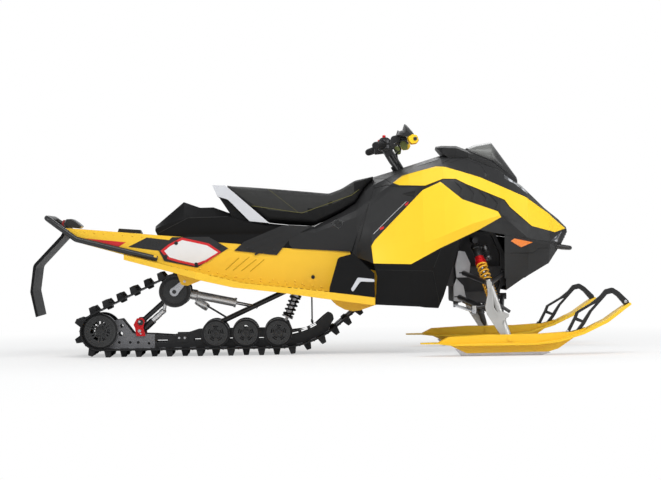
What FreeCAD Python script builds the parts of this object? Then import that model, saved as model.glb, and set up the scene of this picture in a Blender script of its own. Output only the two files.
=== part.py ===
"""Trail snowmobile: parametric document in millimetres, one STEP file per sub-part.

+X points forward, +Y to the left and +Z up. The origin lies on the snow, under the middle of the machine.
"""
import FreeCAD
import Part
import math
import os

V = FreeCAD.Vector

# Driving dimensions

SIZES = (
    ("sheet_thickness", 3, "tunnel sheet"),
    ("tunnel_half", 200, "centre plane to the outside of the tunnel"),
    ("tunnel_front", 325, "front wall of the tunnel"),
    ("tunnel_front_top", 575, "height of the tunnel top at its front"),
    ("tunnel_rear", -1290, "rear end of the tunnel"),
    ("board_edge", 345, "centre plane to the outside of a running board"),
    ("board_lip", 12, "thickness of the running board lip"),
    ("board_floor", 4, "thickness of the running board floor"),
    ("track_width", 381, "width of the track"),
    ("belt_thickness", 7, "thickness of the track belt"),
    ("lug_height", 32, "height of a track lug over the belt"),
    ("lug_rows", 43, "number of lug rows around the track"),
    ("lug_foot", 34, "length of a lug at the belt"),
    ("lug_tip", 22, "length of a lug at its tip"),
    ("rear_wheel_radius", 89, "radius of the rear axle wheels"),
    ("rear_wheel_x", -1125, "rear axle"),
    ("mid_wheel_radius", 70, "radius of the wheels on the rails"),
    ("upper_wheel_radius", 80, "radius of the upper carrier wheels"),
    ("upper_wheel_x", -750, "upper carrier axle, along"),
    ("upper_wheel_z", 321, "upper carrier axle, height"),
    ("wheel_width", 26, "width of a wheel's rim"),
    ("wheel_gauge", 120, "centre plane to the middle of the wheels"),
    ("axle_radius", 10, "radius of the wheel axles"),
    ("sprocket_radius", 97, "drive sprocket, to the inside of the belt"),
    ("sprocket_x", 155, "drive axle, along"),
    ("sprocket_z", 350, "drive axle, height"),
    ("ramp_start", -236, "where the belt leaves the ground"),
    ("ramp_radius", 460, "radius of the belt's bend at the rail fronts"),
    ("rail_gauge", 85, "centre plane to the middle of a slide rail"),
    ("rail_width", 12, "thickness of a slide rail"),
    ("seat_gap", 0.3, "gap between two pieces that seat on each other"),
    ("panel_wall", 4, "wall of the body panels"),
    ("panel_seam", 0.8, "gap between two body panels"),
    ("panel_inner", 60, "centre plane to the inner edge of a side panel"),
    ("lamp_inner", 20, "centre plane to the inner edge of a headlight"),
    ("windshield_wall", 3, "thickness of the windshield"),
    ("bumper_radius", 14, "radius of the rear bumper tube"),
    ("front_bumper_radius", 11, "radius of the front bumper tube"),
    ("flap_half", 190, "centre plane to the side of the snow flap"),
    ("seat_half", 150, "centre plane to the side of the seat"),
    ("kingpin_y", 505, "centre plane to the kingpin axis"),
    ("kingpin_radius", 8, "radius of the kingpin"),
    ("kingpin_play", 0.05, "radial play of the kingpin in the arm eyes"),
    ("eye_radius", 19, "radius of the arm eyes"),
    ("eye_height", 26, "height of the arm eyes along the kingpin"),
    ("eye_gap", 0.5, "gap between an arm eye and the spindle"),
    ("arm_tube_radius", 12, "radius of the suspension arm tubes"),
    ("tie_rod_radius", 8, "radius of the tie rods"),
    ("shock_spring_radius", 28, "radius of the front springs"),
    ("ski_y", 540, "centre plane to the middle of a ski"),
    ("ski_width", 145, "width of a ski"),
    ("ski_blade", 7, "thickness of the ski blade"),
    ("ski_wall", 8, "thickness of the saddle walls on a ski"),
    ("ski_saddle_half", 26, "middle of a ski to the inside of its saddle walls"),
    ("ski_pin_radius", 6, "radius of the ski bolt"),
    ("runner_width", 12, "width of the wear bar under the keel"),
    ("loop_width", 26, "width of a ski loop"),
    ("bar_half", 370, "centre plane to the end of a handlebar grip"),
    ("bar_radius", 11, "radius of the handlebar tube"),
    ("grip_radius", 17, "radius of a grip"),
    ("grip_length", 125, "length of a grip"),
    ("column_radius", 14, "radius of the steering column"),
)

doc = FreeCAD.newDocument("Snowmobile")
sheet = doc.addObject("Spreadsheet::Sheet", "Sizes")
for row, (alias, number, meaning) in enumerate(SIZES, 1):
    sheet.set("A%d" % row, meaning)
    sheet.set("B%d" % row, str(number))
    sheet.setAlias("B%d" % row, alias)
doc.recompute()

ALIASES = [alias for alias, number, meaning in SIZES]


def size(alias):
    """The number that the sheet holds under an alias."""
    return float(sheet.get(alias))


def bind(feature, prop, formula):
    """Tie a property to a formula whose words are aliases of the sheet."""
    words = formula.replace("(", " ( ").replace(")", " ) ").split()
    tied = ["Sizes." + word if word in ALIASES else word for word in words]
    feature.setExpression(prop, " ".join(tied))


# Shapes in the flat

def rounded_ring(points):
    """Edges of a closed ring of (a, b) or (a, b, radius) corners, in the plane z = 0."""
    corners = [V(p[0], p[1], 0) for p in points]
    radii = [p[2] if len(p) > 2 else 0 for p in points]
    count = len(corners)
    starts = []
    ends = []
    arcs = []
    for i in range(count):
        here = corners[i]
        if radii[i] == 0:
            starts.append(here)
            ends.append(here)
            arcs.append(None)
            continue
        back = (corners[i - 1] - here).normalize()
        ahead = (corners[(i + 1) % count] - here).normalize()
        half = back.getAngle(ahead) / 2
        reach = radii[i] / math.tan(half)
        middle = (back + ahead).normalize()
        bulge = here + middle * (radii[i] / math.sin(half) - radii[i])
        starts.append(here + back * reach)
        ends.append(here + ahead * reach)
        arcs.append(Part.Arc(here + back * reach, bulge, here + ahead * reach))
    edges = []
    for i in range(count):
        if arcs[i]:
            edges.append(arcs[i])
        if ends[i].distanceToPoint(starts[(i + 1) % count]) > 1e-6:
            edges.append(Part.LineSegment(ends[i], starts[(i + 1) % count]))
    return edges


SIDE = FreeCAD.Placement(V(), FreeCAD.Rotation(V(1, 0, 0), 90))
PLAN = FreeCAD.Placement()
FRONT = FreeCAD.Placement(V(), FreeCAD.Rotation(V(0, 1, 0), V(0, 0, 1), V(1, 0, 0), "ZXY"))
ACROSS = {"side": (SIDE, V(0, 1, 0)), "plan": (PLAN, V(0, 0, 1)), "front": (FRONT, V(1, 0, 0))}


def outline(name, view, rings):
    """A sketch of closed rings in the side (x, z), plan (x, y) or front (y, z) view."""
    sketch = doc.addObject("Sketcher::SketchObject", name + "_outline")
    sketch.Placement = ACROSS[view][0]
    for ring in rings:
        sketch.addGeometry(rounded_ring(ring), False)
    return sketch


def prism(name, view, rings, low, high):
    """An outline carried from one distance to another, both formulas of the sheet."""
    feature = doc.addObject("Part::Extrusion", name)
    feature.Base = outline(name, view, rings)
    feature.DirMode = "Custom"
    feature.Dir = ACROSS[view][1]
    feature.Solid = True
    bind(feature, "LengthFwd", high)
    bind(feature, "LengthRev", "0 - ( " + low + " )")
    return feature


def common(name, *features):
    feature = doc.addObject("Part::MultiCommon", name)
    feature.Shapes = list(features)
    return feature


def fuse(name, *features):
    feature = doc.addObject("Part::MultiFuse", name)
    feature.Shapes = list(features)
    feature.Refine = True
    return feature


def cut(name, base, tool):
    feature = doc.addObject("Part::Cut", name)
    feature.Base = base
    feature.Tool = tool
    return feature


def mirror(name, source):
    """The twin of a feature on the other side of the machine."""
    feature = doc.addObject("Part::Mirroring", name)
    feature.Source = source
    feature.Base = V()
    feature.Normal = V(0, 1, 0)
    return feature


def pair(name, source):
    """A feature and its twin as one sub-part of two solids."""
    feature = doc.addObject("Part::Compound", name)
    feature.Links = [source, mirror(name + "_twin", source)]
    return feature


def held(name, shape):
    """A feature whose shape is worked out here from the sheet's numbers."""
    feature = doc.addObject("Part::Feature", name)
    feature.Shape = shape
    return feature


def rounded_path(points, bend):
    """A wire of straight runs through the points, joined by arcs of one radius."""
    edges = []
    last = points[0]
    for i in range(1, len(points) - 1):
        back = (points[i - 1] - points[i]).normalize()
        ahead = (points[i + 1] - points[i]).normalize()
        half = back.getAngle(ahead) / 2
        reach = bend / math.tan(half)
        start = points[i] + back * reach
        end = points[i] + ahead * reach
        bulge = points[i] + (back + ahead).normalize() * (bend / math.sin(half) - bend)
        edges.append(Part.LineSegment(last, start).toShape())
        edges.append(Part.Arc(start, bulge, end).toShape())
        last = end
    edges.append(Part.LineSegment(last, points[-1]).toShape())
    return Part.Wire(edges)


def tube(points, radius, bend=40):
    """A round bar along a path of straight runs and arcs."""
    path = rounded_path(points, bend)
    section = Part.Wire([Part.makeCircle(radius, points[0], points[1] - points[0])])
    return path.makePipeShell([section], True, False)


def rod(start, end, radius):
    """A round bar between two points."""
    return Part.makeCylinder(radius, start.distanceToPoint(end), start, end - start)


def beam(corners, low, high):
    """A straight prism across the machine from a side view ring of (x, z) corners."""
    ring = [V(x, low, z) for x, z in corners]
    face = Part.Face(Part.makePolygon(ring + ring[:1]))
    return face.extrude(V(0, high - low, 0))


def strip(start, end, width):
    """The ring round a straight line of the side view, half the width away from it."""
    run = V(end[0] - start[0], end[1] - start[1], 0).normalize()
    aside = V(-run.y, run.x, 0) * (width / 2)
    corners = [V(start[0], start[1], 0), V(end[0], end[1], 0)]
    ring = [corners[0] - aside, corners[1] - aside, corners[1] + aside, corners[0] + aside]
    return tuple((p.x, p.y) for p in ring)


def both(shape):
    """A shape and its mirror image in the centre plane."""
    twin = shape.mirror(V(), V(0, 1, 0))
    return [shape, twin]


def between(line, x):
    """The values of a line of (x, value, ...) knots at one x."""
    for start, end in zip(line, line[1:]):
        if start[0] <= x <= end[0]:
            share = (x - start[0]) / (end[0] - start[0])
            return [a + (b - a) * share for a, b in zip(start[1:], end[1:])]
    knot = line[0] if x < line[0][0] else line[-1]
    return list(knot[1:])


# Tunnel and running boards

sheet_thickness = size("sheet_thickness")
seat_gap = size("seat_gap")
tunnel_front = size("tunnel_front")
tunnel_front_top = size("tunnel_front_top")
tunnel_rear = size("tunnel_rear")

TUNNEL_TOP = (
    (tunnel_rear, 645),
    (-840, 604),
    (-700, 592),
    (tunnel_front, tunnel_front_top),
)
BOARD_TOP = (
    (-996, 508),
    (-665, 426),
    (-401, 361),
    (-136, 331),
    (165, 292),
    (239, 281),
)
BOARD_BOTTOM = (
    (-996, 483),
    (-740, 415),
    (-603, 375),
    (-456, 341),
    (-226, 313),
    (-26, 282),
    (239, 244),
)
SPROCKET_BULGE = (
    (tunnel_front, 262),
    (243, 240),
    (170, 216),
    (136, 212),
    (94, 221),
    (53, 244),
    (23, 278),
    (12, 312),
)

tunnel_shell = prism(
    "tunnel_shell",
    "side",
    [TUNNEL_TOP + SPROCKET_BULGE + BOARD_TOP[3::-1] + ((-1234, 575),)],
    "0 - tunnel_half",
    "tunnel_half",
)
tunnel_room = prism(
    "tunnel_room",
    "side",
    [
        tuple((x, z - sheet_thickness) for x, z in ((tunnel_rear - 100, 654),) + TUNNEL_TOP[1:-1])
        + (
            (tunnel_front - sheet_thickness, tunnel_front_top - sheet_thickness),
            (tunnel_front - sheet_thickness, 0),
            (tunnel_rear - 100, 0),
        )
    ],
    "sheet_thickness - tunnel_half",
    "tunnel_half - sheet_thickness",
)
tunnel_sheet = cut("tunnel_sheet", tunnel_shell, tunnel_room)
hanger = prism(
    "hanger",
    "side",
    [((-750, 452), (-715, 355, 10), (-684, 350, 14), (-590, 385, 10), (-540, 430))],
    "0 - tunnel_half",
    "sheet_thickness - tunnel_half",
)
EMBOSS_PITCH = 34
emboss_rings = []
for i in range(5):
    foot_x = -520 + EMBOSS_PITCH * i
    emboss_rings.append(strip((foot_x, 452 - 4 * i), (foot_x + 60, 497 - 4 * i), 7))
embossing = prism("embossing", "side", emboss_rings, "0 - tunnel_half - 1.5", "0 - tunnel_half + 1")
tunnel = fuse(
    "tunnel",
    tunnel_sheet,
    hanger,
    mirror("hanger_left", hanger),
    embossing,
    mirror("embossing_left", embossing),
)

TOOTH_PITCH = 30
TOOTH_HEIGHT = 7


def toothed(line, first, last):
    """A line of (x, z) points with saw teeth between two of its x values."""
    teeth = []
    for i in range(int((last - first) / TOOTH_PITCH)):
        x = first + i * TOOTH_PITCH
        teeth.append((x, between(line, x)[0]))
        teeth.append((x + 4, between(line, x + 4)[0] + TOOTH_HEIGHT))
        teeth.append((x + 12, between(line, x + 12)[0]))
    kept = [p for p in line if not any(abs(p[0] - tooth[0]) < 13 for tooth in teeth)]
    return tuple(sorted(kept + teeth))


board_band = prism(
    "board_band",
    "side",
    [toothed(BOARD_TOP, -620, 10) + BOARD_BOTTOM[::-1]],
    "0 - board_edge",
    "0 - tunnel_half",
)
board_edge = size("board_edge")
board_lip = size("board_lip")
tunnel_half = size("tunnel_half")
lip_strip = prism(
    "lip_strip",
    "plan",
    [
        (
            (-1010, -tunnel_half - board_lip),
            (-640, -board_edge),
            (250, -board_edge),
            (250, board_lip - board_edge),
            (-638, board_lip - board_edge),
            (-1010, -tunnel_half),
        )
    ],
    "0",
    "1000",
)
board_rail = common("board_rail", board_band, lip_strip)
board_floor = size("board_floor")
floor_band = prism(
    "floor_band",
    "side",
    [
        tuple((x, z + 2 * board_floor) for x, z in BOARD_BOTTOM[1:])
        + tuple((x, z + board_floor) for x, z in BOARD_BOTTOM[:0:-1])
    ],
    "0 - board_edge",
    "0 - tunnel_half",
)
floor_area = prism(
    "floor_area",
    "plan",
    [
        (
            (-1010, -tunnel_half - board_lip / 2),
            (-640, board_lip / 2 - board_edge),
            (250, board_lip / 2 - board_edge),
            (250, -tunnel_half),
            (-1010, -tunnel_half),
        )
    ],
    "0",
    "1000",
)
board_deck = common("board_deck", floor_band, floor_area)
running_boards = pair("running_boards", fuse("board_right", board_rail, board_deck))

# Rear end

bumper_radius = size("bumper_radius")
bumper_side = tunnel_half + bumper_radius + 0.3


def bumper_half(sign):
    """The side run of the rear bumper and its raised grab bar."""
    return [
        V(-830, sign * bumper_side, 472 + bumper_radius),
        V(-1230, sign * bumper_side, 588),
        V(-1318, sign * bumper_side, 653),
        V(-1375, sign * (bumper_side - 20), 695),
    ]


right_half = bumper_half(-1)
left_half = bumper_half(1)
rear_bumper = held("rear_bumper", tube(right_half + left_half[::-1], bumper_radius, 26))


def flap_seat(x):
    """A point at the tunnel top's underside, where the snow flap seats."""
    return (x, 604 + (-840 - x) * (654 - 604) / (-840 - tunnel_rear + 100) - sheet_thickness - seat_gap)


FLAP = (
    flap_seat(-1289),
    (-1308, 606, 12),
    (-1445, 463, 40),
    (-1462, 330, 30),
    (-1436, 205),
    (-1424, 208),
    (-1449, 332, 25),
    (-1432, 455, 34),
    (-1297, 596, 8),
    flap_seat(-1275),
)
snow_flap = prism("snow_flap", "side", [FLAP], "0 - flap_half", "flap_half")

tail_light = held(
    "tail_light",
    beam(((-1317, 690), (-1302, 692), (-1247, 678), (-1212, 645), (-1212, 639), (-1290, 646)), -70, 70),
)
cargo_base = held(
    "cargo_base",
    beam(((-1036, 622.5), (-1030, 640), (-925, 632), (-915, 612)), -60, 60),
)

# Track

belt_thickness = size("belt_thickness")
lug_height = size("lug_height")
belt_inside = lug_height + belt_thickness
REAR_WHEEL = (
    size("rear_wheel_x"),
    belt_inside + size("rear_wheel_radius"),
    size("rear_wheel_radius"),
)
UPPER_WHEEL = (size("upper_wheel_x"), size("upper_wheel_z"), size("upper_wheel_radius"))
SPROCKET = (size("sprocket_x"), size("sprocket_z"), size("sprocket_radius"))
RAIL_BEND = (size("ramp_start"), belt_inside + size("ramp_radius"), size("ramp_radius"))
LOOP = (REAR_WHEEL, UPPER_WHEEL, SPROCKET, RAIL_BEND)


def belt_span(first, second):
    """Where the belt leaves one wheel (x, z, radius) and meets the next, which it keeps on its right."""
    run = V(second[0] - first[0], 0, second[1] - first[1])
    way = math.atan2(run.z, run.x) + math.asin((second[2] - first[2]) / run.Length)
    out = V(-math.sin(way), 0, math.cos(way))
    leave = V(first[0], 0, first[1]) + out * first[2]
    meet = V(second[0], 0, second[1]) + out * second[2]
    return leave, meet


def loop_runs():
    """The inside of the belt as (start, end, centre) runs in order; a straight run has no centre."""
    spans = [belt_span(LOOP[i], LOOP[(i + 1) % len(LOOP)]) for i in range(len(LOOP))]
    runs = []
    for i, wheel in enumerate(LOOP):
        runs.append((spans[i - 1][1], spans[i][0], V(wheel[0], 0, wheel[1])))
        runs.append((spans[i][0], spans[i][1], None))
    return runs


def bend_angles(start, end, centre):
    """The angle at which a bend starts, and how far it turns."""
    first = math.atan2(start.z - centre.z, start.x - centre.x)
    last = math.atan2(end.z - centre.z, end.x - centre.x)
    return first, (first - last) % (2 * math.pi)


def run_length(start, end, centre):
    """The length of a run at the middle of the belt's thickness."""
    if centre is None:
        return start.distanceToPoint(end)
    return bend_angles(start, end, centre)[1] * (start.distanceToPoint(centre) + belt_thickness / 2)


def on_loop(distance):
    """The point inside the belt at a distance along the loop, and the way outwards there."""
    for start, end, centre in loop_runs():
        length = run_length(start, end, centre)
        if distance <= length:
            break
        distance -= length
    if centre is None:
        way = (end - start).normalize()
        return start + way * distance, V(-way.z, 0, way.x)
    radius = start.distanceToPoint(centre)
    angle = bend_angles(start, end, centre)[0] - distance / (radius + belt_thickness / 2)
    out = V(math.cos(angle), 0, math.sin(angle))
    return centre + out * radius, out


def loop_face(offset):
    """The area inside the loop, at an offset outwards from the inside of the belt."""
    edges = []
    for start, end, centre in loop_runs():
        if centre is None:
            way = (end - start).normalize()
            out = V(-way.z, 0, way.x) * offset
            edges.append(Part.LineSegment(start + out, end + out).toShape())
            continue
        first, sweep = bend_angles(start, end, centre)
        radius = start.distanceToPoint(centre) + offset
        spots = []
        for share in (0, 0.5, 1):
            angle = first - sweep * share
            spots.append(centre + V(math.cos(angle), 0, math.sin(angle)) * radius)
        edges.append(Part.Arc(*spots).toShape())
    return Part.Face(Part.Wire(edges))


def lug(distance, low, high, foot, tip, base, top):
    """A tapered block across the belt, from one height over its inside to another."""
    spot, out = on_loop(distance)
    way = V(out.z, 0, -out.x)
    ring = []
    for along, up in ((-foot / 2, base), (-tip / 2, top), (tip / 2, top), (foot / 2, base)):
        corner = spot + way * along + out * up
        ring.append((corner.x, corner.z))
    return beam(ring, low, high)


track_half = size("track_width") / 2
belt_outer = loop_face(belt_thickness).extrude(V(0, 2 * track_half, 0))
belt_inner = loop_face(0).extrude(V(0, 2 * track_half, 0))
belt = belt_outer.cut(belt_inner)
belt.translate(V(0, -track_half, 0))
lug_rows = int(size("lug_rows"))
pitch = sum(run_length(*run) for run in loop_runs()) / lug_rows
print("track loop", round(pitch * lug_rows, 1), "pitch", round(pitch, 2))
LUG_BANDS = (
    ((-0.97, -0.5), (-0.24, 0.24), (0.5, 0.97)),
    ((-0.8, -0.3), (0.3, 0.8)),
)
DRIVE_BANDS = ((-0.3, -0.16), (0.16, 0.3))
drive_height = 12
blocks = []
LUG_PHASE = 0.45
for row in range(lug_rows):
    distance = (row + LUG_PHASE) * pitch
    for low, high in LUG_BANDS[row % len(LUG_BANDS)]:
        blocks.append(
            lug(
                distance,
                low * track_half,
                high * track_half,
                size("lug_foot"),
                size("lug_tip"),
                belt_thickness / 2,
                belt_thickness + lug_height,
            )
        )
    for low, high in DRIVE_BANDS:
        blocks.append(
            lug(
                distance,
                low * track_half,
                high * track_half,
                size("lug_foot"),
                size("lug_tip"),
                belt_thickness / 2,
                -drive_height,
            )
        )
track = held("track", belt.multiFuse(blocks))

# Wheels, rails and the rear suspension

wheel_width = size("wheel_width")
wheel_gauge = size("wheel_gauge")
axle_radius = size("axle_radius")
belt_gap = 0.5


def windows(x, z, y, inner, outer, openings):
    """Cutters for the openings of a wheel, as (angle, half angle) in degrees between two radii."""
    tools = []
    for angle, half in openings:
        ring = []
        corners = ((inner, -half), (outer, -half), (outer, 0), (outer, half), (inner, half), (inner, 0))
        for reach, turn in corners:
            way = math.radians(angle + turn)
            ring.append((x + reach * math.cos(way), z + reach * math.sin(way)))
        tools.append(beam(ring, y - wheel_width, y + wheel_width))
    return Part.makeCompound(tools)


MID_OPENINGS = [(72 * i + 18, 21) for i in range(5)]
REAR_OPENINGS = [(60 * i, 14) for i in range(6)] + [(60 * i + 30, 4) for i in range(6)]


def wheel(x, z, radius, y, openings=MID_OPENINGS):
    """A wheel with a thick rim that clears the belt, a thin web with openings and a hub."""
    rim = radius - belt_gap
    low = V(x, y - wheel_width / 2, z)
    across = V(0, 1, 0)
    disc = Part.makeCylinder(rim, wheel_width, low, across)
    hub = 2.2 * axle_radius
    inside = 0.78 * rim
    web = wheel_width / 3
    for start in (low, V(x, y + web / 2, z)):
        room = Part.makeCylinder(inside, web, start, across)
        disc = disc.cut(room.cut(Part.makeCylinder(hub, web, start, across)))
    disc = disc.cut(windows(x, z, y, 1.15 * hub, 0.72 * inside, openings))
    return disc.cut(Part.makeCylinder(axle_radius, wheel_width, low, across))


def axle(x, z, half, radius=axle_radius):
    """A round shaft across the machine."""
    return Part.makeCylinder(radius, 2 * half, V(x, -half, z), V(0, 1, 0))


rear_axle = axle(REAR_WHEEL[0], REAR_WHEEL[1], wheel_gauge + wheel_width / 2 + 4)
rear_pair = [wheel(*REAR_WHEEL, sign * wheel_gauge, REAR_OPENINGS) for sign in (-1, 1)]
rear_wheels = held("rear_wheels", rear_axle.multiFuse(rear_pair))

mid_radius = size("mid_wheel_radius")
MID_WHEELS = (-549, -399, -236)
mid_height = belt_inside + mid_radius
mid_solids = []
for x in MID_WHEELS:
    shaft = axle(x, mid_height, wheel_gauge + wheel_width / 2 + 4)
    turning = [wheel(x, mid_height, mid_radius, sign * wheel_gauge) for sign in (-1, 1)]
    mid_solids.append(shaft.multiFuse(turning))
mid_wheels = held("mid_wheels", Part.makeCompound(mid_solids))

upper_axle = axle(UPPER_WHEEL[0], UPPER_WHEEL[1], tunnel_half - sheet_thickness - 0.3)
upper_discs = []
for sign in (-1, 1):
    upper_discs.append(
        Part.makeCylinder(
            UPPER_WHEEL[2] - belt_gap,
            wheel_width,
            V(UPPER_WHEEL[0], sign * wheel_gauge - wheel_width / 2, UPPER_WHEEL[1]),
            V(0, 1, 0),
        )
    )
upper_wheels = held("upper_wheels", upper_axle.multiFuse(upper_discs))

sprocket_shaft = axle(SPROCKET[0], SPROCKET[1], tunnel_half - sheet_thickness - 0.3, 16)
sprocket_discs = []
for sign in (-1, 1):
    sprocket_discs.append(
        Part.makeCylinder(
            SPROCKET[2] - belt_gap,
            40,
            V(SPROCKET[0], sign * wheel_gauge - 20, SPROCKET[1]),
            V(0, 1, 0),
        )
    )
drive_axle = held("drive_axle", sprocket_shaft.multiFuse(sprocket_discs))

RAIL = (
    (-1145, 150, 10),
    (-1069, 178, 8),
    (-1019, 186, 8),
    (-962, 112, 20),
    (-855, 108),
    (-729, 98),
    (-640, 126),
    (-600, 128),
    (-580, 165, 8),
    (-540, 165, 8),
    (-520, 128),
    (-250, 128),
    (-228, 165, 8),
    (-182, 165, 8),
    (-164, 118),
    (-100, 124),
    (-50, 148),
    (-4, 188, 8),
    (18, 204, 8),
    (38, 196, 8),
    (43, 172, 8),
)
rail_gauge = size("rail_gauge")
rail_width = size("rail_width")


def rail_ring():
    """The side view of a slide rail, which rests on the inside of the belt."""
    low = belt_inside + belt_gap
    centre_x, centre_z, radius = RAIL_BEND
    front = []
    for degrees in (32, 24, 16, 8, 0):
        angle = math.radians(degrees)
        reach = radius - belt_gap
        front.append((centre_x + reach * math.sin(angle), centre_z - reach * math.cos(angle)))
    return RAIL + tuple(front) + ((-1100, low), (-1145, 105, 10))


rail_plate = prism(
    "rail_plate",
    "side",
    [rail_ring()],
    "0 - rail_gauge - rail_width / 2",
    "rail_width / 2 - rail_gauge",
)
doc.recompute()
REAR_SHAFT = (-925, 168)
FRONT_SHAFT = (-560, 146)
SHOCK_SHAFT = (-205, 146)
TIP_SHAFT = (20, 180)
rails = both(rail_plate.Shape)
rail_room = rail_gauge - rail_width / 2
crossbars = [axle(x, z, rail_gauge, 9) for x, z in (SHOCK_SHAFT, TIP_SHAFT)]
rail_frame = rails[0].multiFuse(rails[1:] + crossbars)
clamp_y = rail_gauge + rail_width / 2
clamps = both(beam(((-748, 66), (-748, 110), (-690, 110), (-690, 66)), -clamp_y - 6, -clamp_y + 1))
rail_frame = rail_frame.multiFuse(clamps)
RAIL_HOLES = ((-1032, 70, 7), (-978, 69, 7), (-938, 68, 7), (-884, 63, 7), (-1020, 152, 9), (-1026, 112, 12))
RAIL_SLOTS = (
    ((-334, 80), (-310, 80)),
    ((-482, 80), (-462, 80)),
    ((-660, 78), (-624, 78)),
    ((-850, 74), (-790, 74)),
)
rail_cuts = [axle(x, z, 200, radius) for x, z, radius in RAIL_HOLES]
rail_cuts = rail_cuts + [beam(strip(start, end, 11), -200, 200) for start, end in RAIL_SLOTS]
for degrees in (12, 19, 26):
    reach = RAIL_BEND[2] - 54
    ends = []
    for turn in (-2.4, 2.4):
        angle = math.radians(degrees + turn)
        ends.append((RAIL_BEND[0] + reach * math.sin(angle), RAIL_BEND[1] - reach * math.cos(angle)))
    rail_cuts.append(beam(strip(ends[0], ends[1], 13), -200, 200))
rail_frame = rail_frame.cut(Part.makeCompound(rail_cuts))
shaft_holes = [axle(REAR_WHEEL[0], REAR_WHEEL[1], 200, axle_radius + seat_gap)]
for x in MID_WHEELS:
    shaft_holes.append(axle(x, mid_height, 200, axle_radius + seat_gap))
slide_rails = held("slide_rails", rail_frame.cut(Part.makeCompound(shaft_holes)))

LINK_PIVOT = (-698, 372)
link_width = 8
link_y = tunnel_half - sheet_thickness - 0.3 - link_width
links = []
for sign in (-1, 1):
    low = min(sign * link_y, sign * (link_y + link_width))
    head = Part.makeCylinder(22, link_width, V(UPPER_WHEEL[0], low, UPPER_WHEEL[1]), V(0, 1, 0))
    tail = Part.makeCylinder(13, link_width, V(LINK_PIVOT[0], low, LINK_PIVOT[1]), V(0, 1, 0))
    web = beam(
        (
            (UPPER_WHEEL[0] - 10, UPPER_WHEEL[1] + 18),
            (LINK_PIVOT[0] - 8, LINK_PIVOT[1] + 9),
            (LINK_PIVOT[0] + 8, LINK_PIVOT[1] - 9),
            (UPPER_WHEEL[0] + 15, UPPER_WHEEL[1] - 14),
        ),
        low,
        low + link_width,
    )
    bore = axle(UPPER_WHEEL[0], UPPER_WHEEL[1], 400, axle_radius + seat_gap)
    links.append(head.multiFuse([tail, web]).cut(bore))
carrier_links = held("carrier_links", Part.makeCompound(links))

arm_y = 60
rocker_low = rail_gauge + rail_width / 2 + seat_gap
rocker_high = rocker_low + 9
rear_cross = axle(*REAR_SHAFT, rocker_high + 4, 14)
rear_legs = []
for sign in (-1, 1):
    foot = V(REAR_SHAFT[0], sign * arm_y, REAR_SHAFT[1])
    head = V(UPPER_WHEEL[0], sign * arm_y, UPPER_WHEEL[1])
    rear_legs.append(rod(foot, head, 12))
    rear_legs.append(axle(UPPER_WHEEL[0], UPPER_WHEEL[1], 15, 21).translated(V(0, sign * arm_y, 0)))
carrier_bore = axle(UPPER_WHEEL[0], UPPER_WHEEL[1], 200, axle_radius + seat_gap)
rear_arm = held("rear_arm", rear_cross.multiFuse(rear_legs).cut(carrier_bore))

ROCKER = (
    (-960, 157),
    (-943, 189, 6),
    (-912, 190, 6),
    (-904, 175),
    (-911, 141),
    (-900, 100, 4),
    (-946, 100, 4),
    (-953, 141),
)
rocker_plate = prism(
    "rocker_plate",
    "side",
    [ROCKER],
    "0 - rail_gauge - rail_width / 2 - seat_gap - 9",
    "0 - rail_gauge - rail_width / 2 - seat_gap",
)
doc.recompute()
rocker_bore = axle(*REAR_SHAFT, 200, 14 + seat_gap)
rockers = held("rockers", Part.makeCompound([s.cut(rocker_bore) for s in both(rocker_plate.Shape)]))

FRONT_PIVOT = (-120, 348)
tunnel_room_half = tunnel_half - sheet_thickness - seat_gap
front_low = axle(*FRONT_SHAFT, rail_room - seat_gap, 12)
front_high = axle(*FRONT_PIVOT, tunnel_room_half, 12)
front_legs = []
for sign in (-1, 1):
    foot = V(FRONT_SHAFT[0], sign * arm_y, FRONT_SHAFT[1])
    head = V(FRONT_PIVOT[0], sign * arm_y, FRONT_PIVOT[1])
    front_legs.append(rod(foot, head, 12))
front_arm = held("front_arm", front_low.multiFuse([front_high] + front_legs))


def stepped_rod(start, end, steps):
    """A turned bar between two points, as (from, to, radius) lengths along it."""
    way = (end - start).normalize()
    parts = [rod(start + way * low, start + way * high, radius) for low, high, radius in steps]
    return parts[0].multiFuse(parts[1:]) if len(parts) > 1 else parts[0]


shock_foot = V(SHOCK_SHAFT[0], 0, SHOCK_SHAFT[1])
shock_head = V(FRONT_PIVOT[0], 0, FRONT_PIVOT[1])
shock_span = shock_foot.distanceToPoint(shock_head)
centre_shock = held(
    "centre_shock",
    stepped_rod(
        shock_foot,
        shock_head,
        (
            (9 + seat_gap, 40, 8),
            (35, 45, 30),
            (45, 150, 27),
            (150, 165, 30),
            (165, shock_span - 12 - seat_gap, 19),
        ),
    ),
)
rear_shock_head = V(UPPER_WHEEL[0], 0, UPPER_WHEEL[1])
rear_shock_foot = V(-345, 0, 236)
rear_span = rear_shock_head.distanceToPoint(rear_shock_foot)
RESERVOIR = (V(-650, 40, 272), V(-588, 40, 230))
rear_damper = stepped_rod(
    rear_shock_head,
    rear_shock_foot,
    (
        (axle_radius + seat_gap, 60, 14),
        (60, 110, 27),
        (110, 300, 22),
        (300, 312, 25),
        (312, rear_span, 9),
    ),
)
rear_shock = held(
    "rear_shock",
    rear_damper.multiFuse(
        [
            axle(rear_shock_foot.x, rear_shock_foot.z, arm_y - 12 - seat_gap, 9),
            rod(*RESERVOIR, 19),
            rod(RESERVOIR[0], V(-650, 0, 290), 10),
        ]
    ),
)

# Bodywork: the outer surface runs through character lines of (x, half width, height)

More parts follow.
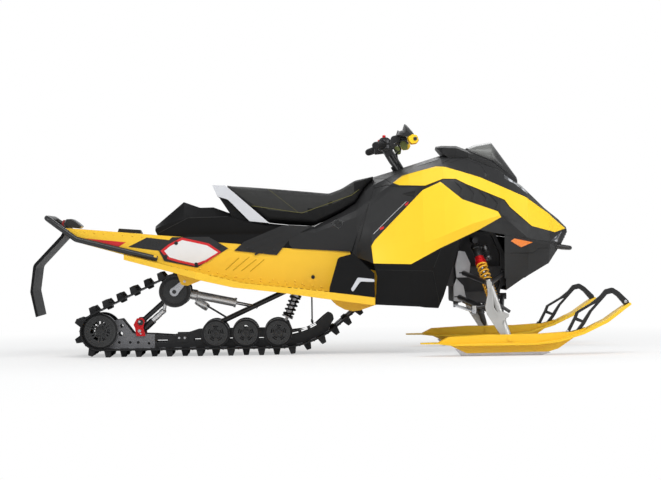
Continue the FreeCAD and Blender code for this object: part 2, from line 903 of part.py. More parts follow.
side_face = tunnel_half + seat_gap + size("panel_wall")
RIDGE = (
    (-180, 0, 647),
    (-46, 0, 638),
    (92, 0, 712),
    (157, 0, 790),
    (205, 0, 864),
    (230, 0, 876),
    (346, 0, 910),
    (435, 0, 938),
    (586, 0, 985),
    (721, 0, 1003),
    (871, 0, 935),
    (980, 0, 868),
    (1025, 0, 807),
    (1111, 0, 723),
    (1162, 0, 690),
    (1190, 0, 660),
    (1222, 0, 626),
)
SHOULDER = (
    (-180, 155, 645),
    (-46, 155, 637),
    (92, 152, 706),
    (157, 150, 742),
    (205, 148, 806),
    (230, 146, 830),
    (346, 132, 888),
    (435, 140, 920),
    (586, 165, 965),
    (721, 175, 965),
    (871, 165, 905),
    (980, 150, 840),
    (1025, 140, 785),
    (1111, 115, 705),
    (1162, 95, 664),
    (1190, 84, 640),
    (1222, 60, 618),
)
BROW_TOP = (
    (-180, 185, 625),
    (-46, 190, 622),
    (157, 200, 712),
    (230, 205, 765),
    (346, 215, 849),
    (387, 232, 882),
    (554, 262, 926),
    (602, 268, 921),
    (775, 262, 867),
    (1001, 215, 769),
    (1122, 160, 686),
    (1190, 112, 622),
    (1222, 86, 606),
)
BROW_LOW = (
    (-180, side_face, 605),
    (-46, side_face, 605),
    (157, 207, 680),
    (230, 216, 735),
    (346, 240, 825),
    (371, 250, 834),
    (497, 288, 829),
    (585, 292, 862),
    (698, 290, 835),
    (891, 268, 755),
    (916, 262, 720),
    (1027, 238, 624),
    (1152, 178, 591),
    (1190, 118, 590),
    (1222, 88, 596),
)
PANEL_TOP = (
    (-180, side_face, 570),
    (-46, side_face, 570),
    (157, side_face + 4, 640),
    (230, 240, 650),
    (346, 285, 690),
    (482, 310, 805),
    (571, 305, 845),
    (679, 305, 759),
    (856, 278, 698),
    (916, 270, 650),
    (1027, 243, 600),
    (1152, 180, 570),
    (1190, 119, 572),
    (1222, 86, 593),
)
CREASE = (
    (-180, side_face, 540),
    (-46, side_face, 530),
    (157, side_face + 4, 520),
    (230, 288, 543),
    (346, 313, 560),
    (418, 326, 562),
    (482, 341, 545),
    (561, 345, 569),
    (585, 344, 582),
    (721, 330, 637),
    (871, 285, 680),
    (916, 278, 590),
    (1027, 248, 555),
    (1152, 182, 545),
    (1190, 119, 560),
    (1222, 82, 591),
)
PANEL_LOW = (
    (-180, side_face, 515),
    (-46, side_face, 505),
    (157, side_face + 4, 490),
    (230, 330, 449),
    (418, 344, 443),
    (561, 342, 519),
    (721, 322, 590),
    (871, 282, 655),
    (918, 270, 575),
    (1027, 245, 540),
    (1152, 180, 530),
    (1190, 116, 545),
    (1222, 78, 589),
)
FLOOR_EDGE = (
    (-180, side_face, 498),
    (157, side_face + 4, 478),
    (230, 318, 245),
    (346, 318, 240),
    (458, 315, 233),
    (550, 305, 218),
    (721, 280, 240),
    (871, 250, 285),
    (940, 225, 292),
    (1004, 200, 372),
    (1095, 160, 405),
    (1123, 145, 436),
    (1162, 125, 501),
    (1190, 106, 530),
    (1222, 72, 587),
)
LINES = (RIDGE, SHOULDER, BROW_TOP, BROW_LOW, PANEL_TOP, CREASE, PANEL_LOW, FLOOR_EDGE)
STATIONS = (-180, -46, 92, 157, 205, 230, 346, 418, 482, 585, 721, 871, 1010, 1122, 1190, 1222)


def body_section(x, inset):
    """The ring of (half width, height) corners around the bodywork at one x, set in by a distance."""
    half = [between(line, x) for line in LINES]
    half.append([0, half[-1][1]])
    ring = [V(-y, z, 0) for y, z in half] + [V(y, z, 0) for y, z in half[-2:0:-1]]
    return inset_ring(ring, inset)


def inset_ring(ring, inset):
    """A closed ring of corners, each moved inwards so that every side comes in by the inset."""
    if inset == 0:
        return ring
    moved = []
    for i, here in enumerate(ring):
        back = (here - ring[i - 1]).normalize()
        ahead = (ring[(i + 1) % len(ring)] - here).normalize()
        normal = (V(-back.y, back.x, 0) + V(-ahead.y, ahead.x, 0)).normalize()
        share = normal.dot(V(-back.y, back.x, 0))
        moved.append(here + normal * (inset / max(share, 0.5)))
    return moved


def envelope(inset, back=0, front=0):
    """The solid inside the bodywork's surface set in by a distance."""
    wires = []
    for x in STATIONS:
        at = x
        if x == STATIONS[0]:
            at = x - back
        if x == STATIONS[-1]:
            at = x - front
        corners = [V(at, p.x, p.y) for p in body_section(x, inset)]
        wires.append(Part.makePolygon(corners + corners[:1]))
    return Part.makeLoft(wires, True, True)


panel_wall = size("panel_wall")
outer_body = envelope(0)
inner_body = envelope(panel_wall, 20, panel_wall)
skin = held("skin", outer_body.cut(inner_body))
recess = panel_wall + seat_gap
recessed_skin = held("recessed_skin", envelope(recess).cut(envelope(recess + panel_wall, 20, panel_wall)))
tunnel_clear = prism(
    "tunnel_clear",
    "side",
    [
        (
            (-300, 615),
            (-180, 581),
            (tunnel_front + 2, tunnel_front_top + 2),
            (tunnel_front + 2, 100),
            (-300, 100),
        )
    ],
    "0 - tunnel_half - seat_gap",
    "tunnel_half + seat_gap",
)


def shrunk(ring, inset):
    """A side view ring with every side moved in."""
    corners = [V(p[0], p[1], 0) for p in ring]
    area = sum(a.x * b.y - b.x * a.y for a, b in zip(corners, corners[1:] + corners[:1]))
    moved = inset_ring(corners, inset if area > 0 else -inset)
    return tuple((p.x, p.y) for p in moved)


def panel(name, ring, source=skin, high="0 - panel_inner"):
    """The part of a skin inside a side view ring, a seam apart from its neighbours."""
    seamed = shrunk(ring, size("panel_seam") / 2)
    window = prism(name + "_window", "side", [seamed], "0 - board_edge - 50", high)
    return common(name, source, window)


SIDE_PANEL = (
    (571, 847),
    (482, 807),
    (244, 564),
    (226, 535),
    (234, 449),
    (418, 443),
    (561, 519),
    (756, 607),
    (871, 669),
    (856, 698),
    (679, 759),
)
LOWER_PANEL = (
    (251, 386),
    (240, 246),
    (458, 233),
    (550, 218),
    (579, 283),
    (668, 567),
    (561, 519),
    (418, 443),
    (234, 449),
)
BROW = (
    (341, 847),
    (387, 882),
    (554, 926),
    (602, 921),
    (775, 867),
    (1001, 769),
    (1122, 686),
    (1216, 611),
    (1152, 591),
    (1027, 624),
    (916, 720),
    (891, 755),
    (698, 835),
    (648, 861),
    (585, 862),
    (497, 829),
    (371, 834),
)
VENT = (
    (482, 807),
    (571, 847),
    (679, 759),
    (856, 698),
    (871, 669),
    (850, 640),
    (895, 640),
    (1027, 624),
    (916, 720),
    (891, 755),
    (698, 835),
    (648, 861),
    (585, 862),
    (497, 829),
)
NOSE = (
    (1230, 611),
    (1216, 611),
    (1152, 591),
    (1027, 624),
    (895, 640),
    (850, 640),
    (871, 669),
    (756, 607),
    (887, 582),
    (1151, 538),
    (1230, 530),
)
SIDE_PLATE = (
    (887, 582),
    (1151, 538),
    (1230, 530),
    (1230, 505),
    (1150, 516),
    (1060, 508),
    (1031, 492),
    (887, 490),
)
NOSE_PAN = (
    (887, 493),
    (1031, 495),
    (1060, 511),
    (1150, 519),
    (1230, 508),
    (1230, 460),
    (1123, 380),
    (1004, 366),
    (887, 366),
)
LOBE = (
    (895, 370),
    (1030, 370),
    (1004, 330),
    (940, 270),
    (895, 270),
)
RIB_COUNT = 8
RIB_START = (1119, 431)
RIB_END = (1163, 503)
HOOD = (
    (341, 847),
    (387, 882),
    (554, 926),
    (602, 921),
    (775, 867),
    (1001, 769),
    (1122, 686),
    (1216, 611),
    (1230, 611),
    (1230, 1100),
    (341, 1100),
)
CONSOLE = (
    (341, 847),
    (371, 834),
    (497, 829),
    (482, 807),
    (244, 564),
    (226, 535),
    (234, 449),
    (132, 490),
    (166, 608),
    (231, 771),
    (250, 830),
    (200, 1000),
    (341, 1000),
)
TANK = (
    (-179, 560),
    (-176, 545),
    (-160, 527),
    (132, 508),
    (166, 608),
    (231, 771),
    (250, 830),
    (200, 1000),
    (-179, 1000),
)
WHOLE = "board_edge + 50"
side_panels = pair("side_panels", panel("side_panel_right", SIDE_PANEL))
lower_closed = panel("lower_panel_closed", LOWER_PANEL)
lower_panels = pair("lower_panels", cut("lower_panel_right", lower_closed, tunnel_clear))
brow_panels = pair("brow_panels", panel("brow_right", BROW))
vent_lap = 7
vent_closed = panel("vent_closed", shrunk(VENT, -vent_lap), recessed_skin)
LOUVRE_TOPS = ((667, 846), (728, 824), (789, 799), (846, 773))
LOUVRE = ((0, 0), (36, -34), (18, -78), (-6, -70), (10, -34), (-26, 6))
louvre_rings = []
for x, z in LOUVRE_TOPS:
    louvre_rings.append([(x + across, z + rise) for across, rise in LOUVRE])
louvre_lines = prism("louvre_lines", "side", louvre_rings, "0 - board_edge - 50", "0 - panel_inner")
louvre_skin = held("louvre_skin", envelope(0.8).cut(envelope(recess + 1, 20, 1)))
louvres = common("louvres", panel("louvre_area", shrunk(VENT, 3), louvre_skin), louvre_lines)
vent_panels = pair("vent_panels", fuse("vent_right", vent_closed, louvres))

BRACE = (
    (-401, 565),
    (-215, 641),
    (-60, 639),
    (-168, 581),
    (-240, 496),
    (-449, 521),
)
brace_plate = prism("brace_plate", "side", [BRACE], "0 - tunnel_half - 5", "0 - tunnel_half")
brace_ribs = prism(
    "brace_ribs",
    "side",
    [strip((-400 + drop, 552 - drop), (-190 + drop, 628 - drop / 2), 9) for drop in (0, 26, 52)],
    "0 - tunnel_half - 8",
    "0 - tunnel_half - 4",
)
seat_braces = pair("seat_braces", fuse("brace_right", brace_plate, brace_ribs))
brace_clear = prism(
    "brace_clear", "side", [shrunk(BRACE, -seat_gap)], "0 - tunnel_half - 9", "seat_gap - tunnel_half"
)
tank_closed = panel("tank_closed", TANK, high=WHOLE)
tank_low = cut("tank_low", tank_closed, tunnel_clear)
tank_cover = cut("tank_cover", tank_low, pair("braces_clear", brace_clear))

COLUMN_BASE = V(385, 0, 915)
COLUMN_WAY = V(-0.5, 0, math.cos(math.radians(30)))
column_radius = size("column_radius")
column_hole = held(
    "column_hole",
    rod(COLUMN_BASE - COLUMN_WAY * 60, COLUMN_BASE + COLUMN_WAY * 60, column_radius + 5),
)
console_closed = cut("console_closed", panel("console_whole", CONSOLE, high=WHOLE), tunnel_clear)
console = cut("console", console_closed, column_hole)
hood_whole = panel("hood_whole", HOOD, high=WHOLE)
nose_whole = panel("nose_whole", NOSE, high=WHOLE)
PAN_STEP = 3
LOBE_STEP = 6
step_skin = held("step_skin", envelope(PAN_STEP).cut(envelope(PAN_STEP + panel_wall, 20, panel_wall)))
lobe_skin = held("lobe_skin", envelope(LOBE_STEP).cut(envelope(LOBE_STEP + panel_wall, 20, panel_wall)))
rib_run = V(RIB_END[0] - RIB_START[0], RIB_END[1] - RIB_START[1], 0) * (1 / RIB_COUNT)
rib_out = V(rib_run.y, -rib_run.x, 0).normalize()
rib_rings = []
for i in range(RIB_COUNT):
    spot = V(RIB_START[0], RIB_START[1], 0) + rib_run * i
    corners = (spot - rib_out * 5, spot + rib_run * 0.7 - rib_out * 5, spot + rib_run * 0.6 + rib_out * 5)
    rib_rings.append(tuple((p.x, p.y) for p in corners))
pan_ribs = prism("pan_ribs", "side", rib_rings, "0 - tunnel_half / 2", "tunnel_half / 2")
pan_whole = fuse(
    "pan_whole",
    panel("side_plate", SIDE_PLATE, high=WHOLE),
    panel("pan_lower", NOSE_PAN, step_skin, WHOLE),
    panel("pan_lobe", LOBE, lobe_skin, WHOLE),
    pan_ribs,
)

LAMP = (
    (905, 890),
    (985, 845),
    (1032, 795),
    (1015, 786),
    (960, 832),
    (900, 862),
)
lamp_window = prism("lamp_window", "side", [LAMP], "0 - board_edge", "0 - lamp_inner")
headlights = pair("headlights", panel("headlight_right", LAMP, high="0 - lamp_inner - panel_seam"))

front_bumper_radius = size("front_bumper_radius")
BUMPER_PATH = (
    V(1105, -135, 534),
    V(1236, -108, 512),
    V(1236, 108, 512),
    V(1105, 135, 534),
)
front_bumper = held("front_bumper", tube(list(BUMPER_PATH), front_bumper_radius, 24))
bumper_clear = held("bumper_clear", tube(list(BUMPER_PATH), front_bumper_radius + seat_gap, 24))
nose = cut("nose", nose_whole, bumper_clear)
nose_pan = cut("nose_pan", pan_whole, bumper_clear)
lamp_holes = pair("lamp_holes", lamp_window)
hood_open = cut("hood_open", hood_whole, lamp_holes)
hood = cut("hood", hood_open, column_hole)

# Windshield

POD = (
    (574, 60, 1034, 1020),
    (600, 100, 1038, 994),
    (670, 125, 1036, 940),
    (726, 138, 1014, 900),
    (845, 122, 964, 850),
    (905, 84, 919, 800),
    (969, 40, 873, 780),
    (984, 24, 862, 780),
)
WINDSHIELD = (
    (730, 92, 1022),
    (772, 100, 1040),
    (853, 92, 1052),
    (905, 70, 980),
    (981, 24, 875),
)
windshield_wall = size("windshield_wall")
glass_inset = 8


def pod(inset):
    """The gauge pod, which carries on as the base of the windshield."""
    wires = []
    for x, half, top, low in POD:
        edge = top - 0.14 * half
        ring = [V(0, top, 0), V(-0.7 * half, top - 4, 0), V(-half, edge, 0), V(-half - 4, low, 0)]
        ring = ring + [V(-p.x, p.y, 0) for p in ring[:0:-1]]
        corners = [V(x, p.x, p.y) for p in inset_ring(ring, inset)]
        wires.append(Part.makePolygon(corners + corners[:1]))
    return Part.makeLoft(wires, True, True)


def screen(inset, reach):
    """The solid under the windshield, from above the pod to inside it."""
    wires = []
    for x, half, top in WINDSHIELD:
        at = x - reach if x == WINDSHIELD[0][0] else x
        foot, base, low = between(POD, x)
        ring = [V(0, top, 0), V(-0.8 * half, top - 6, 0), V(glass_inset - foot - 2, base - 30, 0)]
        ring = ring + [V(-p.x, p.y, 0) for p in ring[:0:-1]]
        corners = [V(at, p.x, p.y) for p in inset_ring(ring, inset)]
        wires.append(Part.makePolygon(corners + corners[:1]))
    return Part.makeLoft(wires, True, True)


hood_clear = envelope(-seat_gap)
gauge_pod = held("gauge_pod", pod(0).cut(hood_clear))
glass = screen(0, 0).cut(screen(windshield_wall, 20))
windshield = held("windshield", glass.cut(pod(-seat_gap)).cut(hood_clear))

# Seat and covers

SEAT = (
    (-486, 849, 842.1, 1),
    (-400, 845, 765.7, 1),
    (-276, 836, 655.8, 1),
    (-180, 827, SHOULDER[0][2], 1),
    (-46, 814, SHOULDER[1][2], 1),
    (27, 806, between(SHOULDER, 27)[1], 1),
    (92, 830, between(SHOULDER, 92)[1], 1),
    (157, 870, between(SHOULDER, 157)[1], 0.98),
    (205, 879, between(SHOULDER, 205)[1] + 18, 0.8),
    (252, 889, between(SHOULDER, 252)[1] + 30, 0.5),
)
seat_half = size("seat_half")


def seat_ring(x, top, low, share):
    """The seat's ring across: a crowned top, sides that lean out, and a flat underside."""
    half = seat_half * share
    crown = 0.55 * half
    shoulder = 0.85 * half
    rise = top - low
    return [
        V(x, -crown, top),
        V(x, -shoulder, top - 0.2 * rise),
        V(x, -half, low + 0.3 * rise),
        V(x, -half, low + seat_gap),
        V(x, half, low + seat_gap),
        V(x, half, low + 0.3 * rise),
        V(x, shoulder, top - 0.2 * rise),
        V(x, crown, top),
    ]


seat_wires = []
for knot in SEAT:
    ring = seat_ring(*knot)
    seat_wires.append(Part.makePolygon(ring + ring[:1]))
seat = held("seat", Part.makeLoft(seat_wires, True, True).cut(hood_clear))

SEAT_TRIM = ((-557, 850), (-491, 846.5), (-277, 656.5), (-372, 667), (-479, 776), (-532, 793))
seat_trim = prism("seat_trim", "side", [SEAT_TRIM], "0 - seat_half", "seat_half")
trim_clear = prism(
    "trim_clear", "side", [shrunk(SEAT_TRIM, -seat_gap)], "0 - seat_half - 10", "seat_half + 10"
)

# The tail cover: at each x its top, its side crease and its underside
TAIL_TOP = (
    (-842, 648),
    (-700, 767),
    (-619, 738),
    (-552, 739),
    (-486, 714),
    (-375, 680),
    (-277, 655.4),
    (-181, 644.7),
)
TAIL_CREASE = (
    (-842, 634),
    (-766, 665),
    (-672, 689),
    (-465, 689),
    (-375, 660),
    (-277, 640),
    (-181, 634),
)
TAIL_STATIONS = (-842, -832, -766, -700, -672, -619, -552, -486, -465, -375, -277, -181)
TAIL_NOSE_LIFT = 20
tail_crown = 108


def tail_section(x):
    """The ring of the tail cover at one x."""
    lift = TAIL_NOSE_LIFT if x == TAIL_STATIONS[0] else 0
    low = between(TUNNEL_TOP, x)[0] + seat_gap + lift
    right = [
        V(x, -tail_crown, between(TAIL_TOP, x)[0]),
        V(x, -seat_half, between(TAIL_CREASE, x)[0]),
        V(x, -seat_half, low),
    ]
    return right + [V(p.x, -p.y, p.z) for p in right[::-1]]


tail_wires = []
for x in TAIL_STATIONS:
    ring = tail_section(x)
    tail_wires.append(Part.makePolygon(ring + ring[:1]))
seat_base = beam(((-524, 789), (-479, 777), (-372, 668), (-372, 650), (-445, 650), (-466, 700)), -138, 138)
tail_body = held("tail_body", Part.makeLoft(tail_wires, True, True).fuse(seat_base).cut(hood_clear))
tail_cover = cut("tail_cover", tail_body, trim_clear)

PLATE_BACK = (
    (-756, 592),
    (-576, 592),
    (-479, 533),
    (-635, 440),
    (-796, 474),
    (-823, 525),
)
PLATE = (
    (-709, 590),
    (-576, 559),
    (-514, 515),
    (-584, 468),
    (-641, 447),
    (-726, 467),
    (-780, 484),
    (-815, 525),
    (-776, 556),
)
number_plates = pair(
    "number_plates",
    fuse(
        "plate_right",
        prism("plate_back", "side", [PLATE_BACK], "0 - tunnel_half - 3", "0 - tunnel_half"),
        prism("plate_face", "side", [PLATE], "0 - tunnel_half - 6", "0 - tunnel_half - 2"),
    ),
)
TOE_GUARD = (
    (17, 335),
    (60, 480, 20),
    (135, 500),
    (238, 400),
    (238, 283),
    (165, 293),
    (15, 312),
)
toe_guards = pair(
    "toe_guards",
    prism("toe_right", "side", [TOE_GUARD], "0 - board_edge", "4 - board_edge"),
)
REFLECTOR = ((918, 550), (937, 563), (1031, 543), (971, 518))
reflector_whole = panel("reflector_whole", REFLECTOR, held("reflector_skin", envelope(-3).cut(hood_clear)))
reflectors = pair("reflectors", reflector_whole)

# Engine and front frame

engine_block = held(
    "engine_block",
    Part.makeBox(640 - tunnel_front - seat_gap, 340, 300, V(tunnel_front + seat_gap, -170, 330)),
)
BULKHEAD = (
    (640.3, 250),
    (640.3, 560),
    (720, 600),
    (850, 600),
    (905, 480),
    (905, 330),
    (882, 322),
    (862, 240),
)
bulkhead_half = 130
bulkhead_core = beam(BULKHEAD, -bulkhead_half, bulkhead_half)
tower = axle(745, 556, 225, 14)
POCKETS = (
    ((700, 425), (668, 540), (735, 582), (838, 582), (878, 490), (878, 425)),
    ((700, 300), (690, 372), (740, 385), (870, 372), (878, 345), (862, 300)),
)
pocket_depth = 45
pockets = []
for ring in POCKETS:
    pockets = pockets + both(beam(ring, -bulkhead_half, pocket_depth - bulkhead_half))
bulkhead = held("bulkhead", bulkhead_core.cut(Part.makeCompound(pockets)).fuse(tower))

kingpin_y = size("kingpin_y")
kingpin_radius = size("kingpin_radius")
kingpin_play = size("kingpin_play")
eye_radius = size("eye_radius")
eye_height = size("eye_height")
eye_gap = size("eye_gap")
arm_radius = size("arm_tube_radius")
UPPER_JOINT = V(784, -kingpin_y, 345)
LOWER_JOINT = V(838, -kingpin_y, 190)
kingpin_way = (LOWER_JOINT - UPPER_JOINT).normalize()
kingpin_span = UPPER_JOINT.distanceToPoint(LOWER_JOINT)


def along_kingpin(distance):
    """A point on the right kingpin axis, from the upper joint downwards."""
    return UPPER_JOINT + kingpin_way * distance


def control_arm(joint, pivots, at):
    """Two tubes from the front frame to an eye around the kingpin."""
    parts = [rod(along_kingpin(at - eye_height / 2), along_kingpin(at + eye_height / 2), eye_radius)]
    for pivot in pivots:
        parts.append(rod(pivot, joint, arm_radius))
        sleeve = Part.makeCylinder(arm_radius + 4, 40, pivot - V(20, 0, 0), V(1, 0, 0))
        parts.append(sleeve)
    arm = parts[0].multiFuse(parts[1:])
    bore = rod(along_kingpin(at - 60), along_kingpin(at + 60), kingpin_radius + kingpin_play)
    slots = []
    for sign in (-1, 1):
        near = at + sign * eye_height / 2
        far = at + sign * 60
        slots.append(rod(along_kingpin(near), along_kingpin(far), eye_radius + 9))
    return arm.cut(bore).cut(Part.makeCompound(slots))


pivot_y = -bulkhead_half - arm_radius - 4 - seat_gap
UPPER_PIVOTS = (V(690, pivot_y, 395), V(900, pivot_y, 395))
LOWER_PIVOTS = (V(665, pivot_y, 276), V(885, pivot_y, 276))
upper_arm = control_arm(UPPER_JOINT, UPPER_PIVOTS, 0)
lower_arm = control_arm(LOWER_JOINT, LOWER_PIVOTS, kingpin_span)
CASTINGS = (
    ((656, 372), (650, 430), (668, 505), (700, 500), (727, 440), (718, 372)),
    ((641, 256), (641, 330), (656, 366), (690, 330), (704, 262), (680, 250)),
)
casting_width = 32
pivot_room = [
    rod(V(spot.x - 21, pivot_y, spot.z), V(spot.x + 21, pivot_y, spot.z), arm_radius + 4 + seat_gap)
    for spot in (UPPER_PIVOTS[0], LOWER_PIVOTS[0])
]
pivot_room.append(rod(UPPER_PIVOTS[0], UPPER_JOINT, arm_radius + 1))
pivot_room.append(rod(LOWER_PIVOTS[0], LOWER_JOINT, arm_radius + 1))
castings = []
for ring in CASTINGS:
    low = -bulkhead_half - seat_gap
    block = beam(ring, low - casting_width, low).cut(Part.makeCompound(pivot_room))
    castings = castings + both(block)
frame_castings = held("frame_castings", Part.makeCompound(castings))
shock_low = V(820, -425, 238)
shock_top = V(745, -210, 556 - 14 - seat_gap - 9)
shock_mount = rod(V(792, -425, 212), V(860, -425, 212), 9)
lower_arm = lower_arm.fuse(shock_mount)
control_arms = held("control_arms", Part.makeCompound(both(upper_arm) + both(lower_arm)))
spring_radius = size("shock_spring_radius")
shock_length = shock_low.distanceToPoint(shock_top)
shock_steps = [(-16, 52, 9), (-4, 44, 24), (44, 52, spring_radius)]
coil = 7
COIL_STARTS = (54, 72, 90, 108, 126, 160, 184, 208, 232)
for start in COIL_STARTS:
    shock_steps.append((start, start + coil, spring_radius))
shock_steps.append((52, 250, spring_radius - 9))
shock_steps.append((138, 150, spring_radius + 1))
shock_steps.append((248, 266, spring_radius))
shock_steps.append((266, shock_length - 6, 24))
shock_steps.append((shock_length - 6, shock_length, 10))
front_shock = stepped_rod(shock_low, shock_top, shock_steps)
shock_way = (shock_top - shock_low).normalize()
reservoir_top = shock_top + V(48, 0, -8)
front_shock = front_shock.multiFuse(
    [
        rod(reservoir_top, reservoir_top - shock_way * 82, 17),
        rod(shock_top - shock_way * 14, reservoir_top - shock_way * 6, 9),
    ]
)
shock_clear = rod(V(780, -425, 212), V(870, -425, 212), 9 + seat_gap)
arm_clear = axle(745, 556, 225, 14 + seat_gap)
front_shock = front_shock.cut(shock_clear).cut(arm_clear)
front_shocks = held("front_shocks", Part.makeCompound(both(front_shock)))

# Spindles and tie rods

ski_y = size("ski_y")
ski_pin_radius = size("ski_pin_radius")
saddle_half = size("ski_saddle_half")
SKI_PIN = (873, 81)
leg_start = eye_height / 2 + eye_gap
leg_end = kingpin_span - eye_height / 2 - eye_gap
foot_start = kingpin_span + eye_height / 2 + eye_gap
cap_start = -eye_height / 2 - eye_gap
foot_half = saddle_half - 0.5
arm_spot = along_kingpin(105)
STEERING_EYE = V(709, -kingpin_y, 231)
tie_rod_radius = size("tie_rod_radius")
eye_thickness = 18
FORGING = (
    (774, 300),
    (768, 352),
    (777, 366),
    (793, 352),
    (796, 311),
    (799, 266),
    (801, 232),
    (818, 206),
    (849, 210),
    (874, 199),
    (872, 184),
    (846, 172),
    (840, 152),
    (861, 110),
    (886, 92),
    (872, 70),
    (858, 74),
    (826, 108),
    (768, 200),
    (760, 236),
)
FORGING_POCKET = (
    (780, 325),
    (788, 325),
    (791, 240),
    (806, 205),
    (822, 190),
    (812, 176),
    (779, 208),
    (772, 240),
)
forging_low = 2 - ski_y
forging_high = forging_low + 22
forging = beam(FORGING, forging_low, forging_high)
eye_rooms = []
for spot in (0, kingpin_span):
    near = spot - eye_height / 2 - eye_gap
    far = spot + eye_height / 2 + eye_gap
    eye_rooms.append(rod(along_kingpin(near), along_kingpin(far), eye_radius + 6))
eye_rooms.append(beam(FORGING_POCKET, forging_low, forging_low + 4))
forging = forging.cut(Part.makeCompound(eye_rooms))
spindle_parts = [
    forging,
    rod(along_kingpin(cap_start), along_kingpin(foot_start + 6), kingpin_radius),
    rod(along_kingpin(cap_start - 8), along_kingpin(cap_start), 14),
    rod(along_kingpin(leg_start), along_kingpin(leg_end), 17),
    rod(along_kingpin(foot_start), along_kingpin(foot_start + 12), 19),
    rod(along_kingpin(foot_start + 7), V(SKI_PIN[0], -ski_y, SKI_PIN[1]), 15),
    Part.makeCylinder(18, 2 * foot_half, V(SKI_PIN[0], -ski_y - foot_half, SKI_PIN[1]), V(0, 1, 0)),
    rod(arm_spot, STEERING_EYE, 6.5),
    Part.makeCylinder(14, eye_thickness, STEERING_EYE - V(0, 0, eye_thickness / 2)),
    rod(along_kingpin(98), V(882, -kingpin_y, 208), 8),
]
spindle_shape = spindle_parts[0].multiFuse(spindle_parts[1:])
bore_start = V(SKI_PIN[0], -ski_y - saddle_half, SKI_PIN[1])
ski_bore = Part.makeCylinder(ski_pin_radius + kingpin_play, 2 * saddle_half, bore_start, V(0, 1, 0))
spindle_shape = spindle_shape.cut(ski_bore)
spindle_right = held("spindle_right", spindle_shape)
spindle_left = held("spindle_left", both(spindle_shape)[1])

TIE_EYE = STEERING_EYE - V(0, 0, eye_thickness + eye_gap)
tie_start = V(TIE_EYE.x, -TIE_EYE.y, TIE_EYE.z)
tie_parts = [rod(TIE_EYE, tie_start, tie_rod_radius)]
for spot in (TIE_EYE, tie_start):
    tie_parts.append(Part.makeCylinder(14, eye_thickness, spot - V(0, 0, eye_thickness / 2)))
tie_rods = held("tie_rods", tie_parts[0].multiFuse(tie_parts[1:]))

# Skis

ski_half = size("ski_width") / 2
ski_wall = size("ski_wall")
BLADE = (
    (445, 60),
    (524, 60),
    (600, 52),
    (1000, 52),
    (1106, 64),
    (1228, 100),
    (1342, 153),
    (1430, 216),
    (1462, 238),
    (1457, 246),
    (1425, 232),
    (1337, 169),
    (1224, 112),
    (1104, 72),
    (1000, 59),
    (600, 59),
    (524, 66),
    (445, 66),
)
KEEL = (
    (578, 56),
    (664, 14),
    (1059, 17),
    (1106, 31),
    (1190, 88),
    (1106, 66),
    (1000, 56),
)
SADDLE = (
    (524, 63),
    (582, 92),
    (773, 102),
    (1020, 102),
    (1174, 111),
    (1245, 130),
    (1215, 104),
    (1104, 68),
    (1000, 56),
    (600, 56),
)
RUNNER = (
    (612, 34),
    (640, 0),
    (1030, 0),
    (1072, 12),
    (1059, 16.6),
    (664, 13.6),
    (622, 34.5),
)


def ski(sign):
    """A ski: blade, keel, saddle walls and the bolt through them."""
    middle = sign * ski_y
    saddle_out = saddle_half + ski_wall
    blade = beam(BLADE, middle - ski_half, middle + ski_half)
    plan = [
        (440, 20),
        (500, 40),
        (600, ski_half),
        (1200, ski_half),
        (1380, 0.8 * ski_half),
        (1470, 0.4 * ski_half),
    ]
    ring = [V(x, middle - y, 0) for x, y in plan] + [V(x, middle + y, 0) for x, y in plan[::-1]]
    shadow = Part.Face(Part.makePolygon(ring + ring[:1])).extrude(V(0, 0, 400))
    blade = blade.common(shadow)
    keel = beam(KEEL, middle - saddle_half, middle + saddle_half)
    walls = []
    for side in (-1, 1):
        low = middle + side * (saddle_half + ski_wall / 2) - ski_wall / 2
        walls.append(beam(SADDLE, low, low + ski_wall))
    bolt = Part.makeCylinder(
        ski_pin_radius, 2 * saddle_out, V(SKI_PIN[0], middle - saddle_out, SKI_PIN[1]), V(0, 1, 0)
    )
    caps = []
    for side in (-1, 1):
        low = middle - saddle_out - 6 if side < 0 else middle + saddle_out
        caps.append(Part.makeCylinder(11, 6, V(SKI_PIN[0], low, SKI_PIN[1]), V(0, 1, 0)))
    return blade.multiFuse([keel, bolt] + walls + caps)


LOOP_OUTER = (
    (1142, 96),
    (1185, 176),
    (1197, 205, 8),
    (1270, 247, 10),
    (1313, 281, 10),
    (1338, 311, 12),
    (1374, 320, 16),
    (1405, 300, 12),
    (1450, 256, 8),
    (1453, 243),
)
LOOP_WINDOWS = (
    ((1166, 112), (1193, 112), (1224, 152), (1192, 164)),
    ((1200, 178), (1230, 164), (1261, 209), (1296, 246), (1272, 236), (1208, 199)),
)
LOOP_INNER = (
    (1432, 232),
    (1395, 276, 8),
    (1373, 292, 10),
    (1347, 287, 8),
    (1313, 250, 10),
    (1272, 205, 8),
    (1239, 147, 8),
    (1200, 96),
)
loop_width = size("loop_width")
runner_width = size("runner_width")
ski_nodes = {}
for side, sign in (("right", -1), ("left", 1)):
    ski_shape = ski(sign)
    ski_nodes["ski_" + side] = held("ski_" + side, ski_shape)
    middle = sign * ski_y
    ring_edges = [e.toShape() for e in rounded_ring(LOOP_OUTER + LOOP_INNER)]
    face = Part.Face(Part.Wire(ring_edges))
    face.Placement = SIDE
    loop = face.extrude(V(0, loop_width, 0))
    loop.translate(V(0, middle - loop_width / 2, 0))
    near = middle - loop_width
    far = middle + loop_width
    ladder = Part.makeCompound([beam(ring, near, far) for ring in LOOP_WINDOWS])
    held("ski_loop_" + side, loop.cut(ladder).cut(ski_shape))
    held("runner_" + side, beam(RUNNER, middle - runner_width / 2, middle + runner_width / 2).cut(ski_shape))

# Steering and controls

